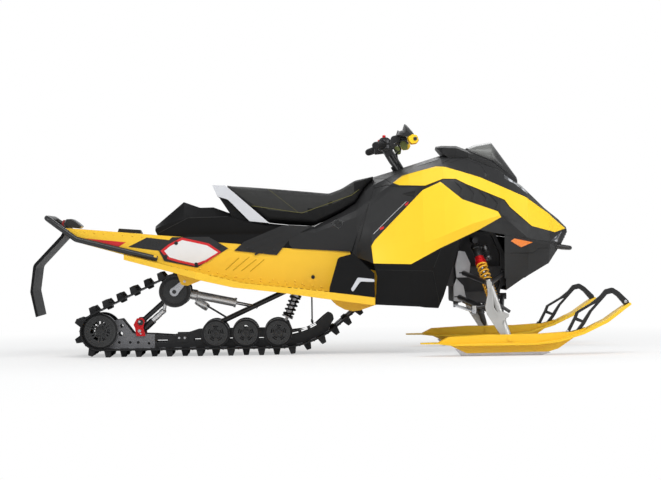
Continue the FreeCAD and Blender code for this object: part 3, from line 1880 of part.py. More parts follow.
bar_half = size("bar_half")
bar_radius = size("bar_radius")
grip_radius = size("grip_radius")
grip_length = size("grip_length")
BAR_CENTRE = V(330, 0, 1040)
column_top = COLUMN_BASE + COLUMN_WAY * 95
boot_play = 0.05
steering_boot = held(
    "steering_boot",
    rod(COLUMN_BASE - COLUMN_WAY * 12, COLUMN_BASE + COLUMN_WAY * 34, column_radius + 14)
    .cut(rod(COLUMN_BASE - COLUMN_WAY * 20, COLUMN_BASE + COLUMN_WAY * 60, column_radius + boot_play))
    .cut(hood_clear),
)
bar_run = [
    V(250, -bar_half, 1026),
    V(322, -150, 1044),
    V(BAR_CENTRE.x, -60, BAR_CENTRE.z),
    V(BAR_CENTRE.x, 60, BAR_CENTRE.z),
    V(322, 150, 1044),
    V(250, bar_half, 1026),
]
riser = beam(((330, 985), (352, 998), (352, 1052), (312, 1058), (300, 1040), (312, 1000)), -40, 40)
column = rod(COLUMN_BASE + COLUMN_WAY * -30, column_top, column_radius)
handlebar = held("handlebar", tube(bar_run, bar_radius, 30).multiFuse([riser, column]))
grip_way = (bar_run[1] - bar_run[0]).normalize()
grip_end = bar_run[0] - grip_way * 4
grip = rod(grip_end, bar_run[0] + grip_way * grip_length, grip_radius)
bar_bore = rod(bar_run[0], bar_run[0] + grip_way * (grip_length + 20), bar_radius + seat_gap)
grips = held("grips", Part.makeCompound(both(grip.cut(bar_bore))))
control_start = bar_run[0] + grip_way * (grip_length + 4)
control_way = grip_way
control_middle = control_start + control_way * 30
control_bore = rod(control_start - control_way * 5, control_start + control_way * 90, bar_radius + seat_gap)
pod_box = Part.makeBox(58, 52, 66, V(control_middle.x - 26, control_middle.y - 26, control_middle.z - 34))
pod_box = pod_box.makeChamfer(9, pod_box.Edges)
master = Part.makeCylinder(21, 62, control_middle + V(38, -6, -18), V(0.35, 0, 1))
clamp = rod(control_start + control_way * 56, control_start + control_way * 80, 19)
stem = rod(control_middle, control_middle + V(72, 0, 16), 15)
lever = rod(control_middle + V(66, 0, 10), V(control_middle.x + 42, -bar_half + 12, control_middle.z - 2), 6)
control_solid = pod_box.multiFuse([master, clamp, stem, lever]).cut(control_bore)
controls = held("controls", Part.makeCompound(both(control_solid)))
GUARD = (
    (358, 1078),
    (372, 1100),
    (388, 1104),
    (398, 1136),
    (410, 1128),
    (436, 1098),
    (458, 1066),
    (450, 1058),
    (420, 1074),
    (392, 1070),
)
guard_wall = 5
guard_outer = -bar_half + 22
guard_inner = guard_outer + 112
guard_right = beam(GUARD, guard_outer, guard_inner)
guard_room = beam(shrunk(GUARD, guard_wall), guard_outer + guard_wall, guard_inner + guard_wall)
guard_clear = Part.makeCompound([o.Shape for o in (controls, handlebar, grips)])
guard_shell = guard_right.cut(guard_room)
guard_solids = guard_shell.cut(guard_clear).Solids
guard_main = max(guard_solids, key=lambda s: s.Volume)
hand_guards = held("hand_guards", Part.makeCompound(both(guard_main)))

# Sub-parts, one file each

NODES = (
    "tunnel",
    "running_boards",
    "rear_bumper",
    "snow_flap",
    "tail_light",
    "cargo_base",
    "track",
    "slide_rails",
    "rear_wheels",
    "mid_wheels",
    "upper_wheels",
    "carrier_links",
    "drive_axle",
    "rear_arm",
    "rockers",
    "front_arm",
    "centre_shock",
    "rear_shock",
    "side_panels",
    "lower_panels",
    "brow_panels",
    "vent_panels",
    "tank_cover",
    "console",
    "hood",
    "nose",
    "nose_pan",
    "headlights",
    "reflectors",
    "front_bumper",
    "windshield",
    "seat",
    "seat_trim",
    "tail_cover",
    "gauge_pod",
    "seat_braces",
    "number_plates",
    "toe_guards",
    "engine_block",
    "bulkhead",
    "frame_castings",
    "control_arms",
    "front_shocks",
    "steering_boot",
    "spindle_right",
    "spindle_left",
    "tie_rods",
    "ski_right",
    "ski_left",
    "ski_loop_right",
    "ski_loop_left",
    "runner_right",
    "runner_left",
    "handlebar",
    "grips",
    "controls",
    "hand_guards",
)

doc.recompute()
os.makedirs("parts", exist_ok=True)
faults = []
for feature in doc.Objects:
    if "Invalid" in feature.State or "Error" in feature.State:
        faults.append(feature.Name)
for name in NODES:
    shape = doc.getObject(name).Shape
    if shape.isNull() or not shape.isValid() or not shape.Solids:
        faults.append(name + " shape")
if faults:
    raise RuntimeError("not built: " + ", ".join(faults))
for name in NODES:
    feature = doc.getObject(name)
    feature.Label = name
    feature.Shape.exportStep("parts/" + name + ".step")
    print(name, len(feature.Shape.Solids), round(feature.Shape.Volume / 1e6, 3))
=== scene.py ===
"""Trail snowmobile: finishes, seat, springs, track hardware, trim, camera and studio round the frame."""

import math

import bpy
import numpy as np
from mathutils import Matrix, Vector


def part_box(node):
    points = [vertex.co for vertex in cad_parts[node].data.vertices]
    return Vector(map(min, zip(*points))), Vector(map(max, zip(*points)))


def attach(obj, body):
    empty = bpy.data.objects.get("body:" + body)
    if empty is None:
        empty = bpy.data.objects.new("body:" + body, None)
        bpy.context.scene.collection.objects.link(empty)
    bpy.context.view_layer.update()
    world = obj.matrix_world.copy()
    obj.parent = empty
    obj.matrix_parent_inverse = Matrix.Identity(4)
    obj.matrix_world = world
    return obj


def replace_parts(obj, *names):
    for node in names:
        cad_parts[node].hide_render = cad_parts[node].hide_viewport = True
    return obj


bl_info = {
    "name": "Snowmobile dressing",
    "version": (1, 0, 0),
    "blender": (4, 5, 0),
    "location": "View3D > Sidebar > Snowmobile",
    "description": "Dresses the snowmobile frame with finishes, soft parts and small hardware",
    "category": "Object",
}

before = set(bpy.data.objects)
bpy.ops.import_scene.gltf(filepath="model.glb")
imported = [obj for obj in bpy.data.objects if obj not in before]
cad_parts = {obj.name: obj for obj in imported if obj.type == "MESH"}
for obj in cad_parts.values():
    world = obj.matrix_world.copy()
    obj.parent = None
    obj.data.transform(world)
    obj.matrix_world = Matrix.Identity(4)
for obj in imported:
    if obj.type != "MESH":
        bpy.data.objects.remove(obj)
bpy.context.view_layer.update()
CHASSIS = "chassis"
HANDS = ("right", "left")
OUTWARD = (0, -1, 0)
SHARP_EDGE = math.radians(35)
ODD_WAY = (0.31, 0.17, 0.93)


# Sizes and colours that a user may change


class SnowmobileColours(bpy.types.PropertyGroup):
    """Base colours of the machine."""

    body: bpy.props.FloatVectorProperty(
        name="Body yellow", description="Gloss panels", default=(0.94, 0.61, 0.028),
        subtype="COLOR", min=0, max=1,
    )
    sheet: bpy.props.FloatVectorProperty(
        name="Tunnel yellow", description="Painted sheet", default=(0.93, 0.56, 0.026),
        subtype="COLOR", min=0, max=1,
    )
    ski: bpy.props.FloatVectorProperty(
        name="Ski yellow", description="Moulded skis", default=(0.90, 0.56, 0.018),
        subtype="COLOR", min=0, max=1,
    )
    dark: bpy.props.FloatVectorProperty(
        name="Charcoal", description="Moulded covers", default=(0.017, 0.017, 0.0175),
        subtype="COLOR", min=0, max=1,
    )
    accent: bpy.props.FloatVectorProperty(
        name="Red", description="Stripe, plate edge and anodised parts", default=(0.62, 0.012, 0.016),
        subtype="COLOR", min=0, max=1,
    )


class SnowmobileSizes(bpy.types.PropertyGroup):
    """Sizes of the small parts."""

    bolt: bpy.props.FloatProperty(
        name="Bolt head", description="Radius of a bolt head", default=0.0065,
        unit="LENGTH", subtype="DISTANCE",
    )
    rivet: bpy.props.FloatProperty(
        name="Rivet head", description="Radius of a rivet head", default=0.0045,
        unit="LENGTH", subtype="DISTANCE",
    )
    spring_wire: bpy.props.FloatProperty(
        name="Spring wire", description="Radius of the front spring wire", default=0.0042,
        unit="LENGTH", subtype="DISTANCE",
    )
    piping: bpy.props.FloatProperty(
        name="Piping", description="Radius of the seat's piping", default=0.0026,
        unit="LENGTH", subtype="DISTANCE",
    )


# Surfaces as arrays


def mm(*points):
    """Points, or the numbers of one point, given in millimetres, as metres."""
    return np.asarray(points, float) / 1000.0


def unit(vectors):
    """Each row divided by its length."""
    return vectors / np.maximum(np.linalg.norm(vectors, axis=-1, keepdims=True), 1e-12)


def square_to(way):
    """A direction at length one, and two more at right angles to it and to each other."""
    way = unit(np.asarray(way, float))
    aside = unit(np.cross(way, ODD_WAY))
    return way, aside, np.cross(way, aside)


def lattice(rows, columns, wrap_rows=False, wrap_columns=False):
    """Quads of a grid of rows by columns, joined round the rows or the columns where they wrap."""
    i = np.arange(rows if wrap_rows else rows - 1)[:, None]
    j = np.arange(columns if wrap_columns else columns - 1)[None, :]
    below = (i + 1) % rows
    beside = (j + 1) % columns
    corners = (i * columns + j, below * columns + j, below * columns + beside, i * columns + beside)
    return np.stack(np.broadcast_arrays(*corners), -1).reshape(-1, 4)


def closed(rows, columns, reverse=False):
    """Faces of a tube of rings: its quads, then one face over each end."""
    last = (rows - 1) * columns
    faces = [tuple(q) for q in lattice(rows, columns, wrap_columns=True)]
    faces += [tuple(range(columns - 1, -1, -1)), tuple(range(last, last + columns))]
    return [f[::-1] for f in faces] if reverse else faces


def ring_area(ring):
    """Twice the area inside a flat ring, positive where it goes round to the left."""
    return np.sum(ring[:, 0] * np.roll(ring[:, 1], -1) - np.roll(ring[:, 0], -1) * ring[:, 1])


def leftward(ring):
    """A flat ring in the order that goes round to the left."""
    ring = np.asarray(ring, float)
    return ring if ring_area(ring) > 0 else ring[::-1]


def bar(path, radius, sides=12, aim=(0.0, 0.0, 1.0), flat=1.0):
    """A round or oval bar: at each point of the path, the centre plus radius times the cosine and sine
    of the angle along two directions at right angles to the path."""
    path = np.asarray(path, float)
    radius = np.broadcast_to(np.asarray(radius, float), (len(path),))
    along = unit(np.gradient(path, axis=0))
    aside = unit(np.cross(along, np.broadcast_to(np.asarray(aim, float), along.shape)))
    upward = np.cross(aside, along)
    turn = np.linspace(0, 2 * np.pi, sides, endpoint=False)
    ring = aside[:, None] * np.cos(turn)[None, :, None]
    ring = ring + flat * upward[:, None] * np.sin(turn)[None, :, None]
    points = path[:, None] + ring * radius[:, None, None]
    return points.reshape(-1, 3), closed(len(path), sides, reverse=True)


def rings(profile, start, way, sides):
    """Points of a profile of (distance, radius) pairs, each taken round the line from start along way."""
    profile = np.asarray(profile, float)
    way, aside, other = square_to(way)
    turn = np.linspace(0, 2 * np.pi, sides, endpoint=False)
    ring = aside * np.cos(turn)[:, None] + other * np.sin(turn)[:, None]
    points = np.asarray(start, float) + profile[:, :1, None] * way + profile[:, 1:, None] * ring[None]
    return points.reshape(-1, 3)


def turned(profile, start, way=OUTWARD, sides=24):
    """A turned piece: the rings of an open profile, closed by a face at each end."""
    return rings(profile, start, way, sides), closed(len(profile), sides, reverse=True)


def hoop(profile, centre, way=OUTWARD, sides=24):
    """A closed band: the rings of a closed profile, joined last to first."""
    quads = lattice(len(profile), sides, wrap_rows=True, wrap_columns=True)
    quads = quads if ring_area(np.asarray(profile, float)) > 0 else quads[:, ::-1]
    return rings(profile, centre, way, sides), [tuple(q) for q in quads]


def slab(ring, low, high, plane="side"):
    """A flat ring of corners carried straight from low to high, across the machine or upwards."""
    ring = leftward(ring)
    count = len(ring)
    both = np.vstack([ring, ring])
    order = {"side": (0, 2, 1), "plan": (0, 1, 2)}[plane]
    points = np.empty((2 * count, 3))
    for axis, column in zip(order, (both[:, 0], both[:, 1], np.repeat([low, high], count))):
        points[:, axis] = column
    i = np.arange(count)
    n = (i + 1) % count
    faces = [tuple(w) for w in np.stack([i, n, n + count, i + count], -1)]
    faces += [tuple(range(count - 1, -1, -1)), tuple(range(count, 2 * count))]
    return points, [f[::-1] for f in faces] if plane == "side" else faces


def block(x, y, z):
    """A box between pairs of x, y and z."""
    return slab([(x[0], y[0]), (x[1], y[0]), (x[1], y[1]), (x[0], y[1])], z[0], z[1], "plan")


def joined(parts):
    """Several (points, faces) as one."""
    faces = []
    base = 0
    for points, part_faces in parts:
        faces.extend(tuple(int(v) + base for v in f) for f in part_faces)
        base += len(points)
    return np.vstack([points for points, _ in parts]), faces


def mirrored(part):
    """A part's mirror image in the centre plane."""
    return part[0] * (1, -1, 1), [f[::-1] for f in part[1]]


def twinned(part):
    """A part and its mirror image in the centre plane."""
    return joined([part, mirrored(part)])


def copies(part, places, turns=None):
    """A part set at each place, turned by each matrix before it is moved."""
    points, faces = part
    places = np.asarray(places, float)
    if turns is None:
        turns = np.broadcast_to(np.eye(3), (len(places), 3, 3))
    many = np.einsum("nij,pj->npi", turns, points) + places[:, None]
    steps = np.arange(len(places)) * len(points)
    out = []
    for width in {len(f) for f in faces}:
        same = np.array([f for f in faces if len(f) == width])
        out.extend(map(tuple, (same[None] + steps[:, None, None]).reshape(-1, width)))
    return many.reshape(-1, 3), out


def screwed(part, spots):
    """Heads that point to -Y at the spots, and their twins on the other side."""
    return twinned(copies(part, spots))


def about_y(angles):
    """Turning matrices about the Y axis for an array of angles, from +X towards +Z."""
    c, s, o, i = np.cos(angles), np.sin(angles), np.zeros_like(angles), np.ones_like(angles)
    rows = ((c, o, -s), (o, i, o), (s, o, c))
    return np.stack([np.stack(row, -1) for row in rows], -2)


def smooth_line(points, count):
    """Points at even steps of a Catmull-Rom curve through the given ones."""
    p = np.asarray(points, float)
    p = np.vstack([2 * p[0] - p[1], p, 2 * p[-1] - p[-2]])
    t = np.linspace(0, len(p) - 3 - 1e-9, count)
    k = t.astype(int)
    f = (t - k)[:, None]
    a, b, c, d = p[k], p[k + 1], p[k + 2], p[k + 3]
    cubic = (3 * b - a - 3 * c + d) * f ** 3
    return 0.5 * (2 * b + (c - a) * f + (2 * a - 5 * b + 4 * c - d) * f ** 2 + cubic)


def rounded(ring, radius, steps=5):
    """A ring of corners, each one replaced by points of a parabola that starts and ends the radius
    away."""
    p = np.asarray(ring, float)
    back = np.roll(p, 1, 0) - p
    ahead = np.roll(p, -1, 0) - p
    shorter = np.minimum(np.linalg.norm(back, axis=1), np.linalg.norm(ahead, axis=1))
    reach = np.minimum(radius, 0.45 * shorter)[:, None]
    first = (p + unit(back) * reach)[:, None]
    last = (p + unit(ahead) * reach)[:, None]
    t = np.linspace(0, 1, steps)[None, :, None]
    curve = first * (1 - t) ** 2 + 2 * p[:, None] * t * (1 - t) + last * t ** 2
    return curve.reshape(-1, 2)


def piece(name, part, finish, body, smooth=True, bevel=0.0):
    """A mesh object from (points, faces), with its finish and body."""
    points, faces = part
    mesh = bpy.data.meshes.new(name)
    mesh.from_pydata(points.tolist(), [], faces)
    mesh.update()
    obj = bpy.data.objects.new(name, mesh)
    bpy.context.scene.collection.objects.link(obj)
    if finish:
        mesh.materials.append(finish)
    if smooth:
        mesh.shade_smooth()
        mesh.set_sharp_from_angle(angle=SHARP_EDGE)
    if bevel:
        cut = obj.modifiers.new("edge", "BEVEL")
        cut.width = bevel
        cut.segments = 2
        cut.limit_method = "ANGLE"
        cut.angle_limit = SHARP_EDGE
    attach(obj, body)
    return obj


def walled(obj, thickness, offset=0.0):
    """An open surface with a Solidify modifier that gives it its thickness."""
    wall = obj.modifiers.new("wall", "SOLIDIFY")
    wall.thickness = thickness
    wall.offset = offset
    return obj


# Finishes

GRAIN_DEPTH = 0.0006
PATCH_SCALE = 4.3
PATCH_SPAN = (0.3, 0.7)
SCUFF_SCALE = 14
SCUFF_SPAN = (0.60, 0.74)
# Span of the normal's upward part over which the painted shade on downward faces fades out
UNDERSIDE_SHADE_SPAN = (-0.75, 0.05)
CREASE_SPAN = (0.0, 0.18)
COAT_ROUGHNESS = 0.12
BOWL_SCALE = 26.0
BOWL_SPAN = (0.22, 0.50)
# Span and most share of the painted shade at the windshield's front foot
POD_SHADE_SPAN = (0.84, 0.875)
SCREEN_SHADE = 0.84


def add(tree, kind, sockets=None, **settings):
    """A shader node with its settings, and its sockets set to numbers or linked to outputs."""
    made = tree.nodes.new(kind)
    for key, value in settings.items():
        setattr(made, key, value)
    for key, value in (sockets or {}).items():
        if isinstance(value, bpy.types.NodeSocket):
            tree.links.new(value, made.inputs[key])
        else:
            made.inputs[key].default_value = value
    return made


def ranged(tree, value, span, result=(0.0, 1.0), **settings):
    """A value carried from one span to another and held at its ends."""
    sockets = {"Value": value, "From Min": span[0], "From Max": span[1], "To Min": result[0],
               "To Max": result[1]}
    return add(tree, "ShaderNodeMapRange", sockets, **settings).outputs[0]


def mixed(tree, share, first, second):
    """One colour that gives way to another by a share."""
    return add(tree, "ShaderNodeMix", {0: share, 6: first, 7: second}, data_type="RGBA").outputs[2]


def noise(tree, place, scale, detail, rough=0.5, distortion=0.0):
    """The strength of a noise pattern."""
    sockets = {"Vector": place, "Scale": scale, "Detail": detail, "Roughness": rough,
               "Distortion": distortion}
    return add(tree, "ShaderNodeTexNoise", sockets).outputs["Fac"]


def shade(colour, factor):
    """A colour times a factor, with its alpha."""
    return [min(1.0, c * factor) for c in colour[:3]] + [1.0]


def surface(name, colour, rough, metal=0.0, coat=0.0, mottle=0.08, mottle_size=9.0, grain=0.1,
            grain_size=700.0, stretch=(1, 1, 1), rough_spread=0.12, underside_shade=1.0, scuff=0.0,
            scuff_colour=(0.4, 0.4, 0.4), sheen=0.0, cells=0.0, spec=0.5):
    """A finish of broad colour variation, fine grain in bump, patchy gloss, painted shade on downward
    faces and light scuffs."""
    found = bpy.data.materials.get(name)
    if found:
        return found
    material = bpy.data.materials.new(name)
    material.use_nodes = True
    tree = material.node_tree
    tree.nodes.clear()
    place = add(tree, "ShaderNodeTexCoord").outputs["Object"]
    place = add(tree, "ShaderNodeMapping", {"Vector": place, "Scale": stretch}).outputs["Vector"]
    tint = mixed(tree, noise(tree, place, mottle_size, 5.0, 0.6), shade(colour, 1 - mottle),
                 shade(colour, 1 + mottle))
    # Faces that point downwards take a darker, more orange copy of the colour: painted shade
    if underside_shade < 1.0:
        normal = add(tree, "ShaderNodeNewGeometry").outputs["Normal"]
        upward = add(tree, "ShaderNodeSeparateXYZ", {0: normal}).outputs["Z"]
        facing = ranged(tree, upward, UNDERSIDE_SHADE_SPAN, interpolation_type="SMOOTHSTEP")
        low = shade((colour[0], colour[1] * underside_shade, colour[2]), underside_shade)
        tint = mixed(tree, facing, low, tint)
    if scuff > 0.0:
        lines = noise(tree, place, mottle_size * SCUFF_SCALE, 8.0, 0.75, 0.4)
        mask = ranged(tree, lines, SCUFF_SPAN, (0.0, scuff))
        tint = mixed(tree, mask, tint, list(scuff_colour) + [1.0])
    patches = noise(tree, place, mottle_size * PATCH_SCALE, 6.0, 0.7)
    limits = (max(0.02, rough - rough_spread / 2), min(1.0, rough + rough_spread / 2))
    gloss = ranged(tree, patches, PATCH_SPAN, limits)
    height = noise(tree, place, grain_size, 2.0)
    if cells > 0.0:
        cell = add(tree, "ShaderNodeTexVoronoi", {"Vector": place, "Scale": cells},
                   feature="DISTANCE_TO_EDGE")
        crease = ranged(tree, cell.outputs["Distance"], CREASE_SPAN)
        height = add(tree, "ShaderNodeMath", {0: height, 1: crease}, operation="ADD").outputs[0]
    bump = add(tree, "ShaderNodeBump", {"Height": height, "Strength": grain, "Distance": GRAIN_DEPTH})
    shader = add(tree, "ShaderNodeBsdfPrincipled", {
        "Base Color": tint, "Roughness": gloss, "Normal": bump.outputs[0], "Metallic": metal,
        "Coat Weight": coat, "Coat Roughness": COAT_ROUGHNESS, "Sheen Weight": sheen,
        "Specular IOR Level": spec,
    })
    out = add(tree, "ShaderNodeOutputMaterial")
    tree.links.new(shader.outputs[0], out.inputs[0])
    return material


def patterned(name, colour, rough, other, share, **settings):
    """A finish whose base colour gives way to another by a share worked out from Object coordinates."""
    found = bpy.data.materials.get(name)
    if found:
        return found
    material = surface(name, colour, rough, **settings)
    tree = material.node_tree
    shader = next(n for n in tree.nodes if n.type == "BSDF_PRINCIPLED")
    own = shader.inputs["Base Color"].links[0].from_socket
    place = add(tree, "ShaderNodeTexCoord").outputs["Object"]
    both = mixed(tree, share(tree, place), own, tuple(other) + (1.0,))
    tree.links.new(both, shader.inputs["Base Color"])
    return material


def beyond(axis, limit, test="GREATER_THAN"):
    """A share that is one where the coordinate, without its sign for y, is past the limit, or short
    of it where the test says so."""
    def share(tree, place):
        reach = add(tree, "ShaderNodeSeparateXYZ", {0: place}).outputs[axis]
        if axis == "Y":
            reach = add(tree, "ShaderNodeMath", {0: reach}, operation="ABSOLUTE").outputs[0]
        return add(tree, "ShaderNodeMath", {0: reach, 1: limit}, operation=test).outputs[0]
    return share


def lamp_bowls(tree, place):
    """A share that grows from the middle to the edge of each cell of a Voronoi pattern; the pale middles are
    a painted reflection of the lamp's chrome bowls.
    """
    folded = add(tree, "ShaderNodeVectorMath", {0: place}, operation="ABSOLUTE").outputs[0]
    cell = add(tree, "ShaderNodeTexVoronoi", {"Vector": folded, "Scale": BOWL_SCALE, "Randomness": 0.3})
    return ranged(tree, cell.outputs["Distance"], BOWL_SPAN)


def painted_pod_shade(tree, place):
    """A share of painted shade that grows forwards where the windshield bends down over the hood and the
    gauge pod stands behind it.
    """
    forward = add(tree, "ShaderNodeSeparateXYZ", {0: place}).outputs["X"]
    return ranged(tree, forward, POD_SHADE_SPAN, (0.0, SCREEN_SHADE))


SPINDLE_FACE = 0.5155
RAIL_TAIL = -0.855
PLATE_FACE = 0.2033


def finishes(colours):
    """Every finish of the machine by name."""
    dark = tuple(colours.dark)
    return {
        "body": surface("gloss_yellow_panel", colours.body, 0.40, mottle=0.035, grain=0.006,
                        grain_size=260, underside_shade=0.74, rough_spread=0.08, spec=0.22),
        "sheet": surface("painted_yellow_sheet", colours.sheet, 0.40, coat=0.08, mottle=0.05,
                         grain=0.02, grain_size=420, underside_shade=0.74, scuff=0.08,
                         scuff_colour=(0.75, 0.5, 0.1)),
        "ski": surface("moulded_yellow_ski", colours.ski, 0.42, mottle=0.06, mottle_size=6,
                       grain=0.12, stretch=(0.15, 1, 1), underside_shade=0.72, scuff=0.18,
                       scuff_colour=(0.85, 0.62, 0.2)),
        "dark": surface("moulded_charcoal", dark, 0.46, mottle=0.18, grain=0.16, grain_size=1300,
                        rough_spread=0.16, scuff=0.05, scuff_colour=(0.08, 0.08, 0.08), spec=0.34),
        "dark_low": surface("moulded_black", (0.0065, 0.0065, 0.0068), 0.5, mottle=0.18, grain=0.16,
                            grain_size=1300, spec=0.14),
        "dark_gloss": surface("glossy_charcoal", dark, 0.22, coat=0.3, mottle=0.15, grain=0.04,
                              grain_size=500),
        "coat": surface("black_powder_coat", (0.013, 0.013, 0.014), 0.36, mottle=0.2, grain=0.22,
                        grain_size=2200, coat=0.15, scuff=0.06, scuff_colour=(0.1, 0.1, 0.1)),
        "rubber": surface("moulded_rubber", (0.010, 0.010, 0.011), 0.62, mottle=0.3, mottle_size=20,
                          grain=0.35, grain_size=900, scuff=0.16,
                          scuff_colour=(0.045, 0.045, 0.047), rough_spread=0.2, spec=0.3),
        "vinyl": surface("charcoal_seat_vinyl", (0.0105, 0.0105, 0.0105), 0.56, mottle=0.14,
                         mottle_size=12, grain=0.5, grain_size=1500, cells=520, rough_spread=0.14,
                         spec=0.12),
        "side_vinyl": surface("ribbed_seat_vinyl", (0.026, 0.026, 0.025), 0.6, mottle=0.16,
                              grain=0.6, grain_size=1900, cells=760, sheen=0.06, spec=0.3),
        "piping": surface("olive_piping", (0.12, 0.11, 0.025), 0.55, mottle=0.12, grain=0.4,
                          grain_size=2500),
        "pale": surface("pale_grey_moulding", (0.62, 0.63, 0.66), 0.36, mottle=0.04, grain=0.06,
                        grain_size=800, coat=0.2),
        "cast": surface("cast_aluminium", (0.52, 0.52, 0.53), 0.42, metal=1.0, mottle=0.1,
                        mottle_size=30, grain=0.5, grain_size=1100, scuff=0.15,
                        scuff_colour=(0.75, 0.75, 0.76)),
        "frame_grey": surface("painted_grey_casting", (0.11, 0.11, 0.115), 0.48, metal=0.35,
                              mottle=0.14, grain=0.4, grain_size=900),
        "forged": patterned("forged_spindle", (0.06, 0.06, 0.062), 0.38, (0.52, 0.515, 0.50),
                            beyond("Y", SPINDLE_FACE), metal=0.6, mottle=0.08, grain=0.3, grain_size=800),
        "steel": surface("turned_steel", (0.58, 0.58, 0.60), 0.22, metal=1.0, mottle=0.06,
                         grain=0.3, grain_size=600, stretch=(1, 12, 1)),
        "rail": patterned("anodised_rail", (0.19, 0.19, 0.20), 0.4, (0.022, 0.022, 0.023),
                          beyond("X", RAIL_TAIL), metal=0.35, mottle=0.15, grain=0.2, grain_size=500,
                          stretch=(0.1, 1, 1)),
        "red": surface("red_anodised", colours.accent, 0.28, metal=0.55, mottle=0.08, grain=0.08),
        "stripe": surface("red_film", colours.accent, 0.3, coat=0.3, mottle=0.04, grain=0.03),
        "plate": patterned("plate_red_and_black", colours.accent, 0.32, (0.012, 0.012, 0.013),
                           beyond("Y", PLATE_FACE, "LESS_THAN"), coat=0.3, mottle=0.05, grain=0.04),
        "black_film": surface("black_film", (0.012, 0.012, 0.012), 0.3, coat=0.3, mottle=0.1,
                              grain=0.03),
        "white_film": surface("white_film", (0.80, 0.80, 0.80), 0.32, coat=0.3, mottle=0.02,
                              grain=0.03),
        "spring": surface("amber_spring_coat", (0.80, 0.40, 0.012), 0.32, mottle=0.06, grain=0.08,
                          coat=0.3, scuff=0.08, scuff_colour=(0.5, 0.3, 0.05)),
        "lens_red": surface("red_lens", (0.30, 0.004, 0.006), 0.16, coat=0.6, mottle=0.2,
                            mottle_size=60, grain=0.3, grain_size=260, cells=300),
        "amber": surface("amber_reflector", (0.90, 0.22, 0.012), 0.18, coat=0.6, mottle=0.12,
                         mottle_size=50, grain=0.5, grain_size=300, cells=420),
        # Pale cell middles in a dark lens: painted reflection of the chrome bowls, also laid on the nose
        # slats
        "lamp": patterned("lamp_lens_painted_reflection", (0.62, 0.64, 0.68), 0.10, (0.045, 0.047, 0.05),
                          lamp_bowls, coat=0.9, mottle=0.2),
        "polish": surface("polished_damper", (0.80, 0.80, 0.80), 0.3, metal=0.65, mottle=0.08,
                          mottle_size=25, grain=0.3, grain_size=900, stretch=(1, 1, 6)),
        # The windshield darkens towards its front foot: painted shade of the gauge pod behind it
        "smoked": patterned("smoked_windshield", (0.16, 0.163, 0.156), 0.26, (0.018, 0.018, 0.019),
                            painted_pod_shade, coat=0.1, mottle=0.05, mottle_size=3, grain=0.0,
                            rough_spread=0.04, spec=0.3),
        # Engine block and bulkhead: partly the casting's own dark tone, partly painted shade of the engine
        # bay
        "block": surface("dark_casting_and_bay_shade", (0.05, 0.05, 0.052), 0.55, metal=0.5, mottle=0.2,
                         grain=0.5),
        "pressed": surface("shaded_press_line", (0.60, 0.33, 0.012), 0.45, mottle=0.08, grain=0.02,
                           spec=0.2),
        # Thin dark films in seams, creases, slots and holes: painted shade
        "gap": surface("dark_gap", (0.0035, 0.0035, 0.0035), 0.7, mottle=0.3, grain=0.1,
                       grain_size=900),
        "green": surface("olive_control", (0.12, 0.14, 0.03), 0.5, mottle=0.1, grain=0.3),
    }


# Nodes of the frame by finish
FINISHED_NODES = {
    "sheet": "tunnel running_boards",
    "body": "side_panels brow_panels",
    "plate": "number_plates",
    "ski": "ski_right ski_left",
    "dark": "cargo_base drive_axle vent_panels tank_cover console hood nose nose_pan seat_braces "
            "ski_loop_right ski_loop_left controls hand_guards gauge_pod",
    "dark_low": "snow_flap lower_panels tail_cover toe_guards",
    "dark_gloss": "rear_wheels mid_wheels upper_wheels",
    "coat": "rear_bumper rear_arm front_arm front_bumper control_arms handlebar",
    "rubber": "track steering_boot grips",
    "vinyl": "seat",
    "pale": "seat_trim",
    "rail": "slide_rails",
    "steel": "carrier_links centre_shock tie_rods runner_right runner_left",
    "cast": "rear_shock frame_castings",
    "forged": "spindle_right spindle_left",
    # Painted shade of the engine bay on the engine block and bulkhead
    "block": "engine_block bulkhead",
    "spring": "front_shocks",
    "red": "rockers",
    "lens_red": "tail_light",
    "lamp": "headlights",
    "amber": "reflectors",
    "smoked": "windshield",
}


class SNOW_OT_finishes(bpy.types.Operator):
    """Give each node of the frame its finish"""

    bl_idname = "snow.finishes"
    bl_label = "Frame finishes"

    def execute(self, context):
        made = finishes(context.scene.snow_colours)
        for finish, names in FINISHED_NODES.items():
            for name in names.split():
                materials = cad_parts[name].data.materials
                materials.clear()
                materials.append(made[finish])
        return {"FINISHED"}


# Seat: side view lines of its top and foot, and the share of its half width along its length

SEAT_TOP = mm((-486, 849), (-400, 845), (-276, 836), (-180, 827), (-46, 814), (27, 806), (92, 830),
              (157, 870), (205, 879), (252, 889))
SEAT_LOW = mm((-486, 843), (-400, 767), (-276, 657), (-180, 646), (-46, 638), (27, 674), (92, 707),
              (157, 744), (205, 825), (252, 871))
SEAT_SHARE = np.array([(-0.486, 1.0), (0.092, 1.0), (0.157, 0.98), (0.205, 0.80), (0.252, 0.50)])
PIPING_LINE = mm((-362, 743), (-351, 742), (-111, 704), (138, 790), (176, 818))
SEAM_LINE = mm((-279, 828), (-129, 708))
PIPING_SHARE = 1.1
SEAM_WIDTH = 0.0013

# Layers on the cover: lift and thickness
PIPING_LAYER = (0.0008, 0.0022)
SEAM_LAYER = (0.0002, 0.0008)

